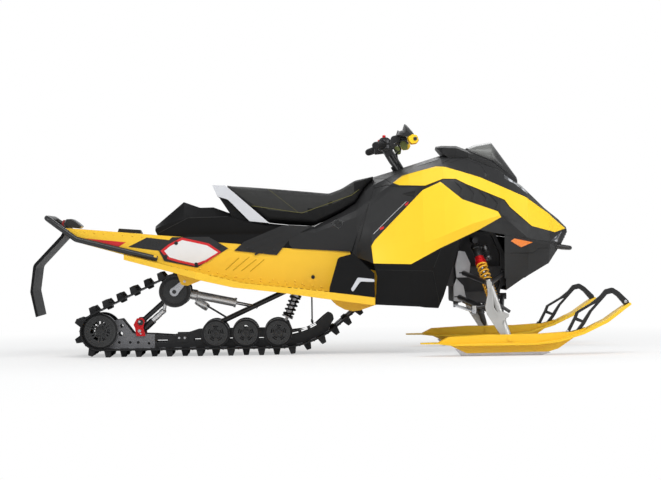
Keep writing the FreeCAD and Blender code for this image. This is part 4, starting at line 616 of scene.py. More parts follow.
SEAT_SIDE_GAP = 0.003
SEAT_TOP_GAP = 0.002
SEAT_END_GAPS = (0.004, -0.003)
CORNER_POWERS = (0.38, 0.42)
SEAT_LEAN = 0.20
SEAT_DISH = 0.007
CROWN = 0.80
CROWN_WIDTH = 0.05
FLANK_FROM = 0.75
SWELL_FROM = 0.9
SWELL_REACH = 0.12
FLANK_SWELL = 0.0045
CRUMPLE = 0.0010
CRUMPLE_WAVES = ((46, 30), (71, -52))
LEAN_POWER = 1.6
DISH_POWER = 4
CROWN_POWER = 3
GROOVE = 0.0022
PIPING_GROOVE_WIDTH = 0.006
SEAM_GROOVE_WIDTH = 0.008
SIDE_VINYL_FROM = 0.118
SIDE_VINYL_TO = 0.15


def bell(distance, width):
    """One at no distance, falling as a bell curve of the width."""
    return np.exp(-(distance / width) ** 2)


def seat_surface(rows=120, columns=88):
    """The seat cover: at each x a ring whose half width is the seat's times a superellipse of the
    angle, leaning in towards the top, and whose height runs between the side view's two lines. The top
    is dished by a cosine between its crowned edges, the side swells by a sine of the height above and
    below the piping, the seams draw it in by bell curves of the distance from their lines, and the
    product of two sine waves creases it."""
    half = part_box("seat")[1].y - SEAT_SIDE_GAP
    x = np.linspace(*(SEAT_TOP[[0, -1], 0] + SEAT_END_GAPS), rows)
    top = np.interp(x, *SEAT_TOP.T) - SEAT_TOP_GAP
    low = np.interp(x, *SEAT_LOW.T) + SEAT_TOP_GAP
    share = np.interp(x, *SEAT_SHARE.T)
    for _ in range(3):
        top[1:-1] = (top[:-2] + 2 * top[1:-1] + top[2:]) / 4
        share[1:-1] = (share[:-2] + 2 * share[1:-1] + share[2:]) / 4
    turn = np.linspace(0, 2 * np.pi, columns, endpoint=False)
    across, up = (np.sign(wave) * np.abs(wave) ** power
                  for wave, power in zip((np.cos(turn), np.sin(turn)), CORNER_POWERS))
    upper = np.clip(up, 0, 1)
    edge = np.abs(across)[None]
    y = half * share[:, None] * (across * (1 - SEAT_LEAN * upper ** LEAN_POWER))[None]
    dish = SEAT_DISH * np.cos(np.clip(across / CROWN, -1, 1) * np.pi / 2) * upper ** DISH_POWER
    z = ((top + low) / 2)[:, None] + ((top - low) / 2)[:, None] * up[None] - dish[None]
    x = x[:, None]
    pipe = np.interp(x, *PIPING_LINE.T)
    wave = np.abs(np.sin(np.clip((z - pipe) / SWELL_REACH, -1, 1) * np.pi))
    swell = wave * FLANK_SWELL * (edge > SWELL_FROM)
    y = np.clip(y + np.sign(y) * swell, -half, half)
    along = (x - SEAM_LINE[0, 0]) / (SEAM_LINE[1, 0] - SEAM_LINE[0, 0])
    seam = SEAM_LINE[0, 1] + along * (SEAM_LINE[1, 1] - SEAM_LINE[0, 1])
    sewn = bell(z - seam, SEAM_GROOVE_WIDTH) * ((along > 0) & (along < 1))
    sewn = bell(z - pipe, PIPING_GROOVE_WIDTH) + sewn
    first, second = (np.sin(a * x + b * z) for a, b in CRUMPLE_WAVES)
    crumple = np.abs(first * second * CRUMPLE)
    y = y - np.sign(y) * np.where(edge > FLANK_FROM, GROOVE * np.clip(sewn, 0, 1) + crumple, 0.0)
    z = z - GROOVE * bell(edge - CROWN, CROWN_WIDTH) * (upper ** CROWN_POWER)[None]
    grid = np.stack([np.broadcast_to(x, y.shape), y, z], -1)
    return grid.reshape(-1, 3), closed(rows, columns)


class SNOW_OT_seat(bpy.types.Operator):
    """Padded seat with its two vinyls, piping and seams"""

    bl_idname = "snow.seat"
    bl_label = "Seat"

    def execute(self, context):
        made = finishes(context.scene.snow_colours)
        radius = context.scene.snow_sizes.piping
        points, faces = seat_surface()
        cushion = piece("seat_cushion", (points, faces), made["vinyl"], CHASSIS)
        cushion.data.materials.append(made["side_vinyl"])
        x, y, z = np.array([points[list(face)].mean(0) for face in faces]).T
        flank = (z > np.interp(x, *PIPING_LINE.T)) & (np.abs(y) > SIDE_VINYL_FROM) & (x < SIDE_VINYL_TO)
        cushion.data.polygons.foreach_set("material_index", flank.astype(np.int32))
        soften = cushion.modifiers.new("cover", "SUBSURF")
        soften.levels = 1
        soften.render_levels = 1
        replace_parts(cushion, "seat")
        for hand in HANDS:
            for name, line, width, (lift, thick) in (
                ("seat_piping_", PIPING_LINE, radius * PIPING_SHARE, PIPING_LAYER),
                ("seat_seam_", SEAM_LINE, SEAM_WIDTH, SEAM_LAYER),
            ):
                film(name + hand, line, width, cushion, made["piping"], hand, lift=lift,
                     thick=thick)
        return {"FINISHED"}


# Shocks: profiles are (distance along the shock, radius)

SHOCK_LOW = mm(820, -425, 238)
SHOCK_TOP = mm(745, -210, 532.7)
RESERVOIR_STEP = mm(48, 0, -8)
COIL_ENDS = 1.4
ROD_RADIUS = 0.0085
NECK_RADIUS = 0.009
TOP_WIRE_SHARE = 1.08
CENTRE_WIRE = 0.0045

# Springs: low end, high end, turns and radius
LOW_SPRING = (0.052, 0.139, 4.2, 0.0232)
TOP_SPRING = (0.149, 0.248, 3.6, 0.0232)
CENTRE_SPRING = (0.044, 0.150, 4.5, 0.0245)

# Ribs: low end, high end, radius, count and depth
BOOT_RIBS = (-0.003, 0.040, 0.0235, 6, 0.003)
ADJUSTER_RIBS = (0.249, 0.268, 0.0275, 6, 0.0018)

BOOT_FOOT = mm((-4, 10))
BOOT_HEAD = mm((42, 27), (52, 27), (53, 10))
ADJUSTER_FOOT = mm((247, 10), (248, 26.5))
ADJUSTER_HEAD = mm((270, 24), (292, 22.5), (293, 10))
UPPER_FOOT = mm((291, 10), (292, 23.5), (304, 23.5), (306, 21.5))
UPPER_HEAD = mm((-30, 21.5), (-28, 23.5), (-8, 23.5), (-6, 10), (-1, 9.5), (-0.5, 2))

SHOCK_ROD = mm((-12, 2), (-10, 9), (50, 9), (52, 16.5), (100, 16.5), (102, 15), (150, 15), (151, 8),
               (262, 8), (264, 2))
DIVIDER = mm((138, 12), (139, 28.5), (142, 29), (143, 26), (146, 26), (147, 29), (149, 28.5), (150, 12))
RESERVOIR = mm((-80, 2), (-79, 15), (-74, 16.5), (-64, 16.5), (-62, 15.5), (-12, 15.5), (-10, 16.8),
               (-2, 16.8), (0, 14), (0.4, 2))

CENTRE_FOOT, CENTRE_HEAD = mm((-205, 0, 146), (-120, 0, 348))
CENTRE_DAMPER = mm((10, 2), (11, 8), (36, 8), (37, 29), (43, 29), (44, 17), (150, 18), (151, 28.5),
                   (163, 28.5), (164, 18.5))

REAR_HEAD, REAR_FOOT = mm((-750, 0, 321), (-345, 0, 236))
REAR_DAMPER = mm((11, 4), (13, 13.5), (58, 13.5), (60, 26), (108, 26.5), (112, 21.5), (180, 21.5),
                 (182, 22.2), (188, 22.2), (190, 21.5), (298, 21.5), (300, 24.5), (310, 24.5), (312, 4))
CANISTER = mm((0, 3), (1, 18.5), (6, 20.5), (56, 20.5), (58, 19.5), (66, 19.5), (72, 17), (73.5, 3))
CANISTER_ENDS = mm((-650, 40, 272), (-588, 40, 230))
CANISTER_NECK = mm((-650, 4, 290), (-652, 20, 286), (-650, 38, 276))
REAR_CROSS = mm((-345, -47, 236), (-345, 47, 236))


def run_of(start, end):
    """The direction from a start to an end, and the distance."""
    return unit(end - start), float(np.linalg.norm(end - start))


def coil(start, way, low, high, turns, radius, wire, count=240, sides=8):
    """A coil spring: its centre line goes round the axis at one radius and climbs evenly, with its two
    end turns laid flat by holding the climb at its limits."""
    way, aside, other = square_to(way)
    t = np.linspace(0, 1, count)
    climb = np.clip((t * (turns + COIL_ENDS) - COIL_ENDS / 2) / turns, 0, 1)
    angle = 2 * np.pi * (turns + COIL_ENDS) * t[:, None]
    height = low + wire + (high - low - 2 * wire) * climb
    path = np.asarray(start, float) + height[:, None] * way
    path = path + radius * (np.cos(angle) * aside + np.sin(angle) * other)
    return bar(path, wire, sides=sides, aim=tuple(way))


def ribbed(low, high, radius, count, depth):
    """A profile of even ribs between two distances."""
    t = np.linspace(low, high, 4 * count + 1)
    wave = np.tile([1, 1, 0, 0], count + 1)[:len(t)]
    return np.stack([t, radius - depth * (1 - wave)], -1)


class SNOW_OT_shocks(bpy.types.Operator):
    """Coil springs and dampers of the front and rear suspension"""

    bl_idname = "snow.shocks"
    bl_label = "Shocks and springs"

    def execute(self, context):
        made = finishes(context.scene.snow_colours)
        wire = context.scene.snow_sizes.spring_wire

        def shock(name, part, finish, node):
            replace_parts(piece(name, part, made[finish], CHASSIS), node)

        way, length = run_of(SHOCK_LOW, SHOCK_TOP)
        boot = np.vstack([BOOT_FOOT, ribbed(*BOOT_RIBS), BOOT_HEAD])
        adjuster = np.vstack([ADJUSTER_FOOT, ribbed(*ADJUSTER_RIBS), ADJUSTER_HEAD])
        upper = np.vstack([UPPER_FOOT, UPPER_HEAD + (length, 0)])
        reservoir_top = SHOCK_TOP + RESERVOIR_STEP
        bridge = bar([SHOCK_TOP - way * 0.014, reservoir_top - way * 0.006], ROD_RADIUS)
        upper_body = joined([turned(upper, SHOCK_LOW, way, 28), turned(RESERVOIR, reservoir_top, way, 24),
                             bridge])
        low_spring = coil(SHOCK_LOW, way, *LOW_SPRING, wire)
        top_spring = coil(SHOCK_LOW, way, *TOP_SPRING, wire * TOP_WIRE_SHARE)
        for name, part, finish, slot in (
            ("shock_lower_bodies", turned(SHOCK_ROD, SHOCK_LOW, way, 28), "steel", "steel"),
            ("shock_boots", turned(boot, SHOCK_LOW, way, 28), "rubber", "rubber"),
            ("shock_lower_springs", low_spring, "spring", "spring"),
            ("shock_upper_springs", top_spring, "spring", "spring"),
            ("shock_dividers", turned(DIVIDER, SHOCK_LOW, way, 28), "dark", "black_plastic"),
            ("shock_adjusters", turned(adjuster, SHOCK_LOW, way, 28), "red", "red_metal"),
            ("shock_upper_bodies", upper_body, "dark_gloss", "black_plastic"),
        ):
            shock(name, twinned(part), finish, "front_shocks")

        rise, span = run_of(CENTRE_FOOT, CENTRE_HEAD)
        damper = np.vstack([CENTRE_DAMPER, mm((-14, 18.5), (-13, 2)) + (span, 0)])
        shock("centre_damper", turned(damper, CENTRE_FOOT, rise, 28), "cast", "centre_shock")
        spring = coil(CENTRE_FOOT, rise, *CENTRE_SPRING, CENTRE_WIRE)
        shock("centre_spring", spring, "coat", "centre_shock")

        run, span = run_of(REAR_HEAD, REAR_FOOT)
        canister = turned(CANISTER, CANISTER_ENDS[0], CANISTER_ENDS[1] - CANISTER_ENDS[0], 28)
        neck = bar(smooth_line(CANISTER_NECK, 12), NECK_RADIUS)
        body = joined([turned(REAR_DAMPER, REAR_HEAD, run, 32), canister, neck])
        rod = bar(np.array([REAR_HEAD + run * 0.308, REAR_HEAD + run * (span - 0.002)]), ROD_RADIUS)
        cross = bar(REAR_CROSS, NECK_RADIUS)
        shock("rear_damper_bodies", body, "polish", "rear_shock")
        shock("rear_damper_rods", joined([rod, cross]), "steel", "rear_shock")
        return {"FINISHED"}


# Track hardware: the loop's circles are x, z and radius

BELT = 0.007
LUG = 0.032
TRACK_WIDTH = 0.381
LUG_ROWS = 43
LUG_PHASE = 0.45
LOOP = mm((-1125, 128, 89), (-750, 321, 80), (155, 350, 97), (-236, 499, 460))
EVEN_LUGS = ((-0.97, -0.5), (-0.24, 0.24), (0.5, 0.97))
ODD_LUGS = ((-0.8, -0.3), (0.3, 0.8))
RIB_PLACES = (0.18, 0.5, 0.82)
RIB_TIP = BELT + LUG * 0.88
RIB = np.array([(0.0150, BELT), (0.0195, BELT), (0.0128, RIB_TIP), (0.0100, RIB_TIP)])
RIB_HALF = 0.003
LUG_CAP_HALF = 0.0075
LUG_CAP_GAP = 0.006
LUG_CAP_THICK = 0.0012
CLIP_SHARE = 0.47
CLIP_HALVES = (0.016, 0.010)
CLIP_THICK = 0.0016
ROD_HALF = 0.004
ROD_THICK = 0.002


def belt_loop(distances):
    """Places and outward directions on the inside of the belt at distances along its mid line: the
    loop is the outer tangents of four circles joined by their arcs."""
    starts, ends, centres, lengths = [], [], [], []
    spans = []
    for first, second in zip(LOOP, np.roll(LOOP, -1, 0)):
        run = second[:2] - first[:2]
        way = np.arctan2(run[1], run[0]) + np.arcsin((second[2] - first[2]) / np.hypot(*run))
        out = np.array([-np.sin(way), np.cos(way)])
        spans.append((first[:2] + out * first[2], second[:2] + out * second[2]))
    for i, wheel in enumerate(LOOP):
        meet, leave = spans[i - 1][1], spans[i][0]
        first = np.arctan2(*(meet - wheel[:2])[::-1])
        last = np.arctan2(*(leave - wheel[:2])[::-1])
        sweep = (first - last) % (2 * np.pi)
        starts += [(first, 0.0), tuple(leave)]
        ends += [(first - sweep, 0.0), tuple(spans[i][1])]
        centres += [tuple(wheel), (np.nan,) * 3]
        lengths += [sweep * (wheel[2] + BELT / 2), float(np.linalg.norm(spans[i][1] - leave))]
    starts, ends, centres, lengths = map(np.array, (starts, ends, centres, lengths))
    limits = np.cumsum(lengths)
    k = np.minimum(np.searchsorted(limits, distances), len(limits) - 1)
    share = ((distances - (limits - lengths)[k]) / lengths[k])[:, None]
    run = ends[k] - starts[k]
    spot = starts[k] + run * share
    arc = ~np.isnan(centres[k, 2])[:, None]
    angle = spot[:, 0]
    run = run / np.maximum(np.linalg.norm(run, axis=1, keepdims=True), 1e-9)
    out = np.where(arc, np.stack([np.cos(angle), np.sin(angle)], -1), np.stack([-run[:, 1], run[:, 0]], -1))
    centre = np.nan_to_num(centres[k])
    place = np.where(arc, centre[:, :2] + out * centre[:, 2:], spot)
    places, outward = (np.stack([flat[:, 0], 0 * angle, flat[:, 1]], -1) for flat in (place, out))
    return places, outward, float(limits[-1])


def loop_frames(phase):
    """Even places round the loop with the matrices that turn +Z outwards and +X along the belt."""
    total = belt_loop(np.array([0.0]))[2]
    spots, outward, _ = belt_loop((np.arange(LUG_ROWS) + phase) * total / LUG_ROWS)
    along = np.stack([outward[:, 2], 0 * outward[:, 0], -outward[:, 0]], -1)
    aside = np.broadcast_to((0.0, 1.0, 0.0), along.shape)
    return spots, np.stack([along, aside, outward], -1)


class SNOW_OT_track(bpy.types.Operator):
    """Ribs on the lugs, guide clips and stiffening rods of the track"""

    bl_idname = "snow.track"
    bl_label = "Track hardware"

    def execute(self, context):
        made = finishes(context.scene.snow_colours)
        half = TRACK_WIDTH / 2
        ribs, caps = [], []
        for odd, bands in enumerate((EVEN_LUGS, ODD_LUGS)):
            spots, turns = (each[odd::2] for each in loop_frames(LUG_PHASE))
            for low, high in bands:
                for share in RIB_PLACES:
                    y = (low + (high - low) * share) * half
                    for end in (-1, 1):
                        rib = slab(RIB * (end, 1), y - RIB_HALF, y + RIB_HALF)
                        ribs.append(copies(rib, spots, turns))
                cap = block((-LUG_CAP_HALF, LUG_CAP_HALF),
                            (low * half + LUG_CAP_GAP, high * half - LUG_CAP_GAP),
                            (BELT + LUG - LUG_CAP_THICK, BELT + LUG))
                caps.append(copies(cap, spots, turns))
        spots, turns = loop_frames(LUG_PHASE + 0.5)
        reach, width = CLIP_HALVES
        clips = [block((-reach, reach), (y - width, y + width), heights)
                 for y in (-CLIP_SHARE * half, CLIP_SHARE * half)
                 for heights in ((-CLIP_THICK, 0.0), (BELT, BELT + CLIP_THICK))]
        rod = block((-ROD_HALF, ROD_HALF), (-half + ROD_HALF, half - ROD_HALF), (BELT, BELT + ROD_THICK))
        for name, part, finish in (
            ("track_lug_ribs", joined(ribs), "rubber"),
            ("track_lug_caps", joined(caps), "rubber"),
            ("track_clips", copies(joined(clips), spots, turns), "steel"),
            ("track_rods", copies(rod, spots, turns), "rubber"),
        ):
            piece(name, part, made[finish], CHASSIS, smooth=False)
        return {"FINISHED"}


# Wheels and fasteners: wheels are x, z and radius, and profiles are (distance across, radius)

WHEELS = mm((-1125, 128, 89), (-549, 109, 70), (-399, 109, 70), (-236, 109, 70))
WHEEL_FACE = 0.133
TYRE_INSET = 0.013
TYRE_GAP = 0.0006
HUB_BOLTS = 6
HUB_BOLT_REACH = 0.030
HUB_BOLT_INSET = 0.0085
HUB_BOLT_TURN = 0.3
AXLE_BOLT_STEP = 0.004
TYRE = mm((-12.5, -10), (-14.5, -9), (-14.5, -3), (-12.5, -0.5), (12.5, -0.5), (14.5, -3), (14.5, -9),
          (12.5, -10))
HUB_CAP = mm((0, 20.5), (3, 20.5), (5, 18.5), (5.5, 13.5), (3.5, 12.5), (3.5, 1))
UPPER_WHEEL = mm(-750, -133, 321)
UPPER_CAP = mm((0, 21.5), (6, 21.5), (8, 19), (8.5, 1))
UPPER_BEAD = mm((0, 60), (2.5, 60), (2.5, 73), (0, 73))
PLATE_BOLTS = mm((-737, -206, 562), (-789, -206, 497), (-639, -206, 456), (-523, -203, 545))
BRACE_BOLTS = mm((-385, -205, 534), (-254, -205, 522))
RAIL_BOLTS = mm((-925, -97.3, 112), (-705, -97.3, 88), (-733, -97.3, 88))
TUNNEL_TOP = mm((-1290, 645), (-840, 604))
TUNNEL_FOOT = mm((-665, 426), (-401, 361), (-136, 331), (165, 292))
ODD_RIVETS = mm((-115, -200, 352), (-150, -200, 366), (-60, -200, 400))
PLUG = mm(-61, -200, 385)
PLUG_RIM = mm((0, 3.5), (1.5, 3.5), (1.5, 9.5), (0, 9.5))
PLUG_FACE = mm((0, 3.6), (0.6, 3.6), (0.7, 0.3))
LINK_BOLTS = mm((-698, -196.7, 372))
TUNNEL_SIDE = 0.2

# Rows of rivets along the tunnel, by x
REAR_RIVETS = np.linspace(-1.235, -0.86, 9)
FRONT_RIVETS = np.linspace(-0.62, -0.20, 8)
LOW_RIVETS = np.linspace(-0.62, -0.02, 15)
REAR_RIVET_DROP = 0.013
LOW_RIVET_LIFT = 0.018
FRONT_RIVET_HEIGHT = 0.408
FRONT_RIVET_FALL = 0.09

# Bolt heads: radius and height
HUB_BOLT = (0.0035, 0.003)
AXLE_BOLT = (0.0085, 0.007)
LINK_BOLT = (0.0085, 0.004)
PLATE_BOLT = (0.0095, 0.005)
RAIL_BOLT = (0.006, 0.004)
ROCKER_BOLT = (0.0085, 0.006)
SKI_PIN_BOLT = (0.0115, 0.007)
SKI_LOOP_BOLT = (0.0080, 0.005)


def bolt_head(radius, height, sides=12):
    """A flanged hexagon head that points to -Y: a flat washer, then six sides and a chamfer."""
    turn = np.linspace(0, 2 * np.pi, sides, endpoint=False)
    hexagon = 0.72 / np.maximum(np.cos((turn + np.pi / 6) % (np.pi / 3) - np.pi / 6), 0.5)
    washer = np.ones(sides)
    levels = []
    for depth, shape in ((0.0, washer), (0.22, washer), (0.26, hexagon), (0.88, hexagon),
                         (1.0, 0.86 * hexagon)):
        r = radius * shape
        levels.append(np.stack([r * np.cos(turn), np.full(sides, -depth * height), r * np.sin(turn)], -1))
    return np.concatenate(levels), closed(len(levels), sides)


def rivet_head(radius, sides=10):
    """A low dome that points to -Y: its radius falls as the cosine, its height grows as the sine."""
    lift = np.linspace(0, np.pi / 2 * 0.92, 4)
    profile = np.stack([0.45 * radius * np.sin(lift), radius * np.cos(lift)], -1)
    return turned(np.vstack([profile, [(0.45 * radius, 0.0001)]]), (0, 0, 0), OUTWARD, sides)


def along_tunnel(x, heights):
    """Places on the tunnel's right side at each x and height."""
    return np.stack([x, np.full(len(x), -TUNNEL_SIDE), heights], -1)


class SNOW_OT_wheels(bpy.types.Operator):
    """Tyres, hub caps and bolts of the wheels, and the bolts and rivets of the chassis"""

    bl_idname = "snow.wheels"
    bl_label = "Wheel trim and fasteners"

    def execute(self, context):
        made = finishes(context.scene.snow_colours)
        sizes = context.scene.snow_sizes
        tyres, caps, bolts = [], [], []
        turn = np.linspace(0, 2 * np.pi, HUB_BOLTS, endpoint=False) + HUB_BOLT_TURN
        for x, z, radius in WHEELS:
            tyre = TYRE + (0, radius - TYRE_GAP)
            tyres.append(hoop(tyre, (x, -WHEEL_FACE + TYRE_INSET, z), sides=48))
            caps.append(turned(HUB_CAP, (x, -WHEEL_FACE, z), sides=28))
            ring = np.stack([x + HUB_BOLT_REACH * np.cos(turn),
                             np.full(HUB_BOLTS, -WHEEL_FACE + HUB_BOLT_INSET),
                             z + HUB_BOLT_REACH * np.sin(turn)], -1)
            bolts.append(copies(bolt_head(*HUB_BOLT), ring))
            bolts.append(copies(bolt_head(*AXLE_BOLT), [(x, -WHEEL_FACE - AXLE_BOLT_STEP, z)]))
        upper = [turned(UPPER_CAP, UPPER_WHEEL, sides=32), hoop(UPPER_BEAD, UPPER_WHEEL, sides=48)]
        front_heights = FRONT_RIVET_HEIGHT - FRONT_RIVET_FALL * (FRONT_RIVETS - FRONT_RIVETS[0])
        rivets = np.vstack([
            along_tunnel(REAR_RIVETS, np.interp(REAR_RIVETS, *TUNNEL_TOP.T) - REAR_RIVET_DROP),
            along_tunnel(FRONT_RIVETS, front_heights),
            along_tunnel(LOW_RIVETS, np.interp(LOW_RIVETS, *TUNNEL_FOOT.T) + LOW_RIVET_LIFT),
            ODD_RIVETS,
        ])
        plugs = [hoop(PLUG_RIM, PLUG, sides=24), turned(PLUG_FACE, PLUG, sides=16)]
        brace_bolt = bolt_head(sizes.bolt, sizes.bolt * 0.8)
        for name, part, finish, slot in (
            ("wheel_tyres", twinned(joined(tyres)), "rubber", "rubber"),
            ("wheel_caps", twinned(joined(caps)), "dark_gloss", "black_plastic"),
            ("wheel_bolts", twinned(joined(bolts)), "coat", "steel"),
            ("upper_wheel_trim", twinned(joined(upper)), "dark", "black_plastic"),
            ("link_bolts", screwed(bolt_head(*LINK_BOLT), LINK_BOLTS), "steel", "steel"),
            ("brace_bolts", screwed(brace_bolt, BRACE_BOLTS), "coat", "steel"),
            ("plate_bolts", screwed(bolt_head(*PLATE_BOLT), PLATE_BOLTS), "dark", "black_plastic"),
            ("tunnel_rivets", screwed(rivet_head(sizes.rivet), rivets), "sheet", "aluminium"),
            ("tunnel_plugs", twinned(joined(plugs)), "dark", "black_plastic"),
            ("rail_bolts", screwed(bolt_head(*RAIL_BOLT), RAIL_BOLTS), "steel", "steel"),
        ):
            piece(name, part, made[finish], CHASSIS)
        return {"FINISHED"}


# Films, plates and trim

# How a flat grid lies for each view: its two axes, the axis it is thrown along, where it starts, its sign
VIEWS = {"right": (0, 2, 1, -0.62, 1), "left": (0, 2, 1, 0.62, -1), "top": (0, 1, 2, 1.4, -1),
         "nose": (1, 2, 0, 1.6, -1), "tail": (1, 2, 0, -1.7, 1)}
LEAST_THROW = 1e-4
STEEPEST_STEP = 0.05
FILM = 0.0008


def patch(top, bottom, rows, columns, view):
    """A flat grid between two lines of a view: columns at even steps along both, rows by linear steps
    across."""
    first, second, depth, start, sign = VIEWS[view]
    t = np.linspace(0, 1, columns)
    lines = []
    for line in (top, bottom):
        line = np.asarray(line, float)
        reach = np.concatenate([[0], np.cumsum(np.linalg.norm(np.diff(line, axis=0), axis=1))])
        lines.append(np.stack([np.interp(t, reach / reach[-1], axis) for axis in line.T], -1))
    s = np.linspace(0, 1, rows)[:, None, None]
    flat = lines[0][None] * (1 - s) + lines[1][None] * s
    points = np.full((rows, columns, 3), float(start))
    points[..., first] = flat[..., 0]
    points[..., second] = flat[..., 1]
    points = points.reshape(-1, 3)
    quads = lattice(rows, columns)
    corner = points[quads[0]]
    outward = np.cross(corner[1] - corner[0], corner[2] - corner[0])[depth] * sign < 0
    return points, [tuple(q) for q in (quads if outward else quads[:, ::-1])]


def thrown(name, part, target, view, lift):
    """The points of a grid after they are thrown along a view's axis onto a surface, and the faces whose
    corners all met it and that aren't steep, with the points that no face uses left out."""
    depth, sign = VIEWS[view][2], VIEWS[view][4]
    probe = piece(name + "_probe", part, None, CHASSIS, smooth=False)
    throw = probe.modifiers.new("throw", "SHRINKWRAP")
    throw.wrap_method = "PROJECT"
    throw.use_project_x = depth == 0
    throw.use_project_y = depth == 1
    throw.use_project_z = depth == 2
    throw.use_positive_direction = sign > 0
    throw.use_negative_direction = sign < 0
    throw.target = target
    throw.offset = lift
    shaped = probe.evaluated_get(bpy.context.evaluated_depsgraph_get())
    points = np.empty(3 * len(part[0]))
    shaped.data.vertices.foreach_get("co", points)
    points = points.reshape(-1, 3)
    bpy.data.objects.remove(probe)
    met = np.abs(points[:, depth] - part[0][:, depth]) > LEAST_THROW
    faces = np.array(part[1])
    faces = faces[met[faces].all(1)]
    edge = points[faces] - points[np.roll(faces, 1, 1)]
    faces = faces[(np.abs(edge[..., depth]) < STEEPEST_STEP).all(1)]
    used, faces = np.unique(faces, return_inverse=True)
    return points[used], [tuple(f) for f in faces.reshape(-1, 4)]


def film(name, line, width, target, finish, view, other=None, columns=60, lift=0.0004,
         thick=0.0006, body=CHASSIS):
    """A thin layer thrown onto a surface in a view: a band of a width along one line, or the area
    between that line and another. A Solidify modifier gives it its thickness."""
    top, bottom = line, other
    if other is None:
        run = unit(np.gradient(line, axis=0))
        aside = np.stack([-run[:, 1], run[:, 0]], -1) * width / 2
        top, bottom = line + aside, line - aside
    part = thrown(name, patch(top, bottom, 3, columns, view), target, view, lift)
    return walled(piece(name, part, finish, body), thick)


TOE_STRIP = mm((120, 323), (131, 311), (168, 362), (237, 358), (237, 372), (155, 382))
PLATE_FIELD = mm((-707, 577), (-585, 549), (-531, 514), (-590, 478), (-642, 459), (-722, 478),
                 (-771, 493), (-796, 524), (-766, 548))
SHROUD = mm((100, 600), (215, 600), (262, 470), (262, 410), (215, 420), (180, 452), (128, 496),
            (112, 540))

# Flat pieces on both sides: name, side view ring, finish, distance from the middle, thickness and bevel
FLATS = (
    ("side_stripes_red", mm((-1227, 596), (-985, 570), (-1028, 545), (-1094, 554)), "stripe",
     TUNNEL_SIDE, FILM, 0.0),
    ("side_stripes_black", mm((-882, 592), (-749, 575), (-821, 525), (-974, 547)), "black_film",
     TUNNEL_SIDE, FILM, 0.0),
    ("plate_fields", PLATE_FIELD, "white_film", 0.206, FILM, 0.0),
    ("tunnel_skirts", mm((-690, 603), (-100, 603), (-100, 523), (-176, 529), (-404, 552), (-690, 577)),
     "dark_low", TUNNEL_SIDE, FILM, 0.0),
    ("front_shrouds", SHROUD, "dark_low", TUNNEL_SIDE, FILM, 0.0),
    ("toe_strips", rounded(TOE_STRIP, 0.008), "pale", 0.345, 0.004, 0.0012),
)

# The near-black lines and areas in seams, creases, slots and holes below are painted shade
# Lines thrown onto the bodywork: name, side view line, width, node and finish
CONTOURS = (
    ("hood_hatch", mm((592, 944), (666, 981), (782, 933), (812, 880), (798, 868)), 0.0030, "hood", "gap"),
    ("hood_crease", mm((627, 944), (705, 968)), 0.0026, "hood", "gap"),
    ("console_crease", mm((238, 822), (312, 838), (371, 826), (470, 827)), 0.0060, "console", "gap"),
    ("console_fold", mm((243, 820), (222, 752), (203, 682), (170, 560)), 0.0030, "console", "gap"),
    ("tank_recess_top", mm((30, 745), (158, 805), (141, 743), (30, 690)), 0.0030, "tank_cover", "gap"),
    ("vent_ring", mm((33, 650), (57, 673), (91, 658), (88, 639), (71, 622), (33, 650)), 0.0050,
     "tank_cover", "dark_gloss"),
    ("strip_top", mm((402, 752), (330, 684), (238, 593)), 0.0016, "console", "white_film"),
    ("pan_line", mm((922, 491), (1037, 489), (1061, 512), (1127, 514)), 0.0026, "nose_pan", "gap"),
    ("pan_seam", mm((893, 579), (987, 566), (1123, 542)), 0.0026, "nose", "gap"),
    ("panel_fold", mm((530, 425), (566, 515), (655, 560)), 0.0024, "lower_panels", "gap"),
    ("panel_foot", mm((240, 418), (526, 408), (560, 236)), 0.0022, "lower_panels", "gap"),
    ("tail_crease", mm((-825, 614), (-680, 687), (-480, 691)), 0.0028, "tail_cover", "dark"),
    ("press_a", mm((-494, 426), (-427, 484)), 0.0045, "tunnel", "pressed"),
    ("press_b", mm((-457, 423), (-376, 488)), 0.0045, "tunnel", "pressed"),
    ("press_c", mm((-416, 420), (-341, 476)), 0.0045, "tunnel", "pressed"),
    ("press_d", mm((-372, 417), (-302, 475)), 0.0045, "tunnel", "pressed"),
)

# Lines thrown down, back or forwards, and drawn on both halves: name, line, width, node, finish, view
MARKS = (
    ("hood_rib", mm((470, 150), (640, 166), (820, 150), (880, 120)), 0.0030, "hood", "gap", "top"),
    ("hood_edge", mm((1040, 120), (1120, 95), (1190, 52)), 0.0030, "hood", "gap", "top"),
    ("hood_slot_front", mm((1075, 60), (1090, 30)), 0.0060, "hood", "gap", "top"),
    ("hood_slot_rear", mm((1050, 66), (1065, 36)), 0.0060, "hood", "gap", "top"),
    ("console_seam", mm((262, 40), (300, 110), (330, 190)), 0.0030, "console", "gap", "top"),
    ("tunnel_bead", mm((-1240, 120), (-1060, 120), (-860, 120)), 0.0060, "tunnel", "sheet", "top"),
    ("tunnel_bead_inner", mm((-1190, 62), (-1060, 62)), 0.0060, "tunnel", "sheet", "top"),
    ("pan_crease", mm((60, 470), (120, 500), (170, 540)), 0.0030, "nose_pan", "gap", "nose"),
    ("flap_rib", mm((60, 230), (60, 590)), 0.0080, "snow_flap", "dark", "tail"),
    ("flap_rib_outer", mm((140, 230), (140, 590)), 0.0080, "snow_flap", "dark", "tail"),
    ("flap_hinge", mm((4, 322), (184, 322)), 0.0060, "snow_flap", "gap", "tail"),
)

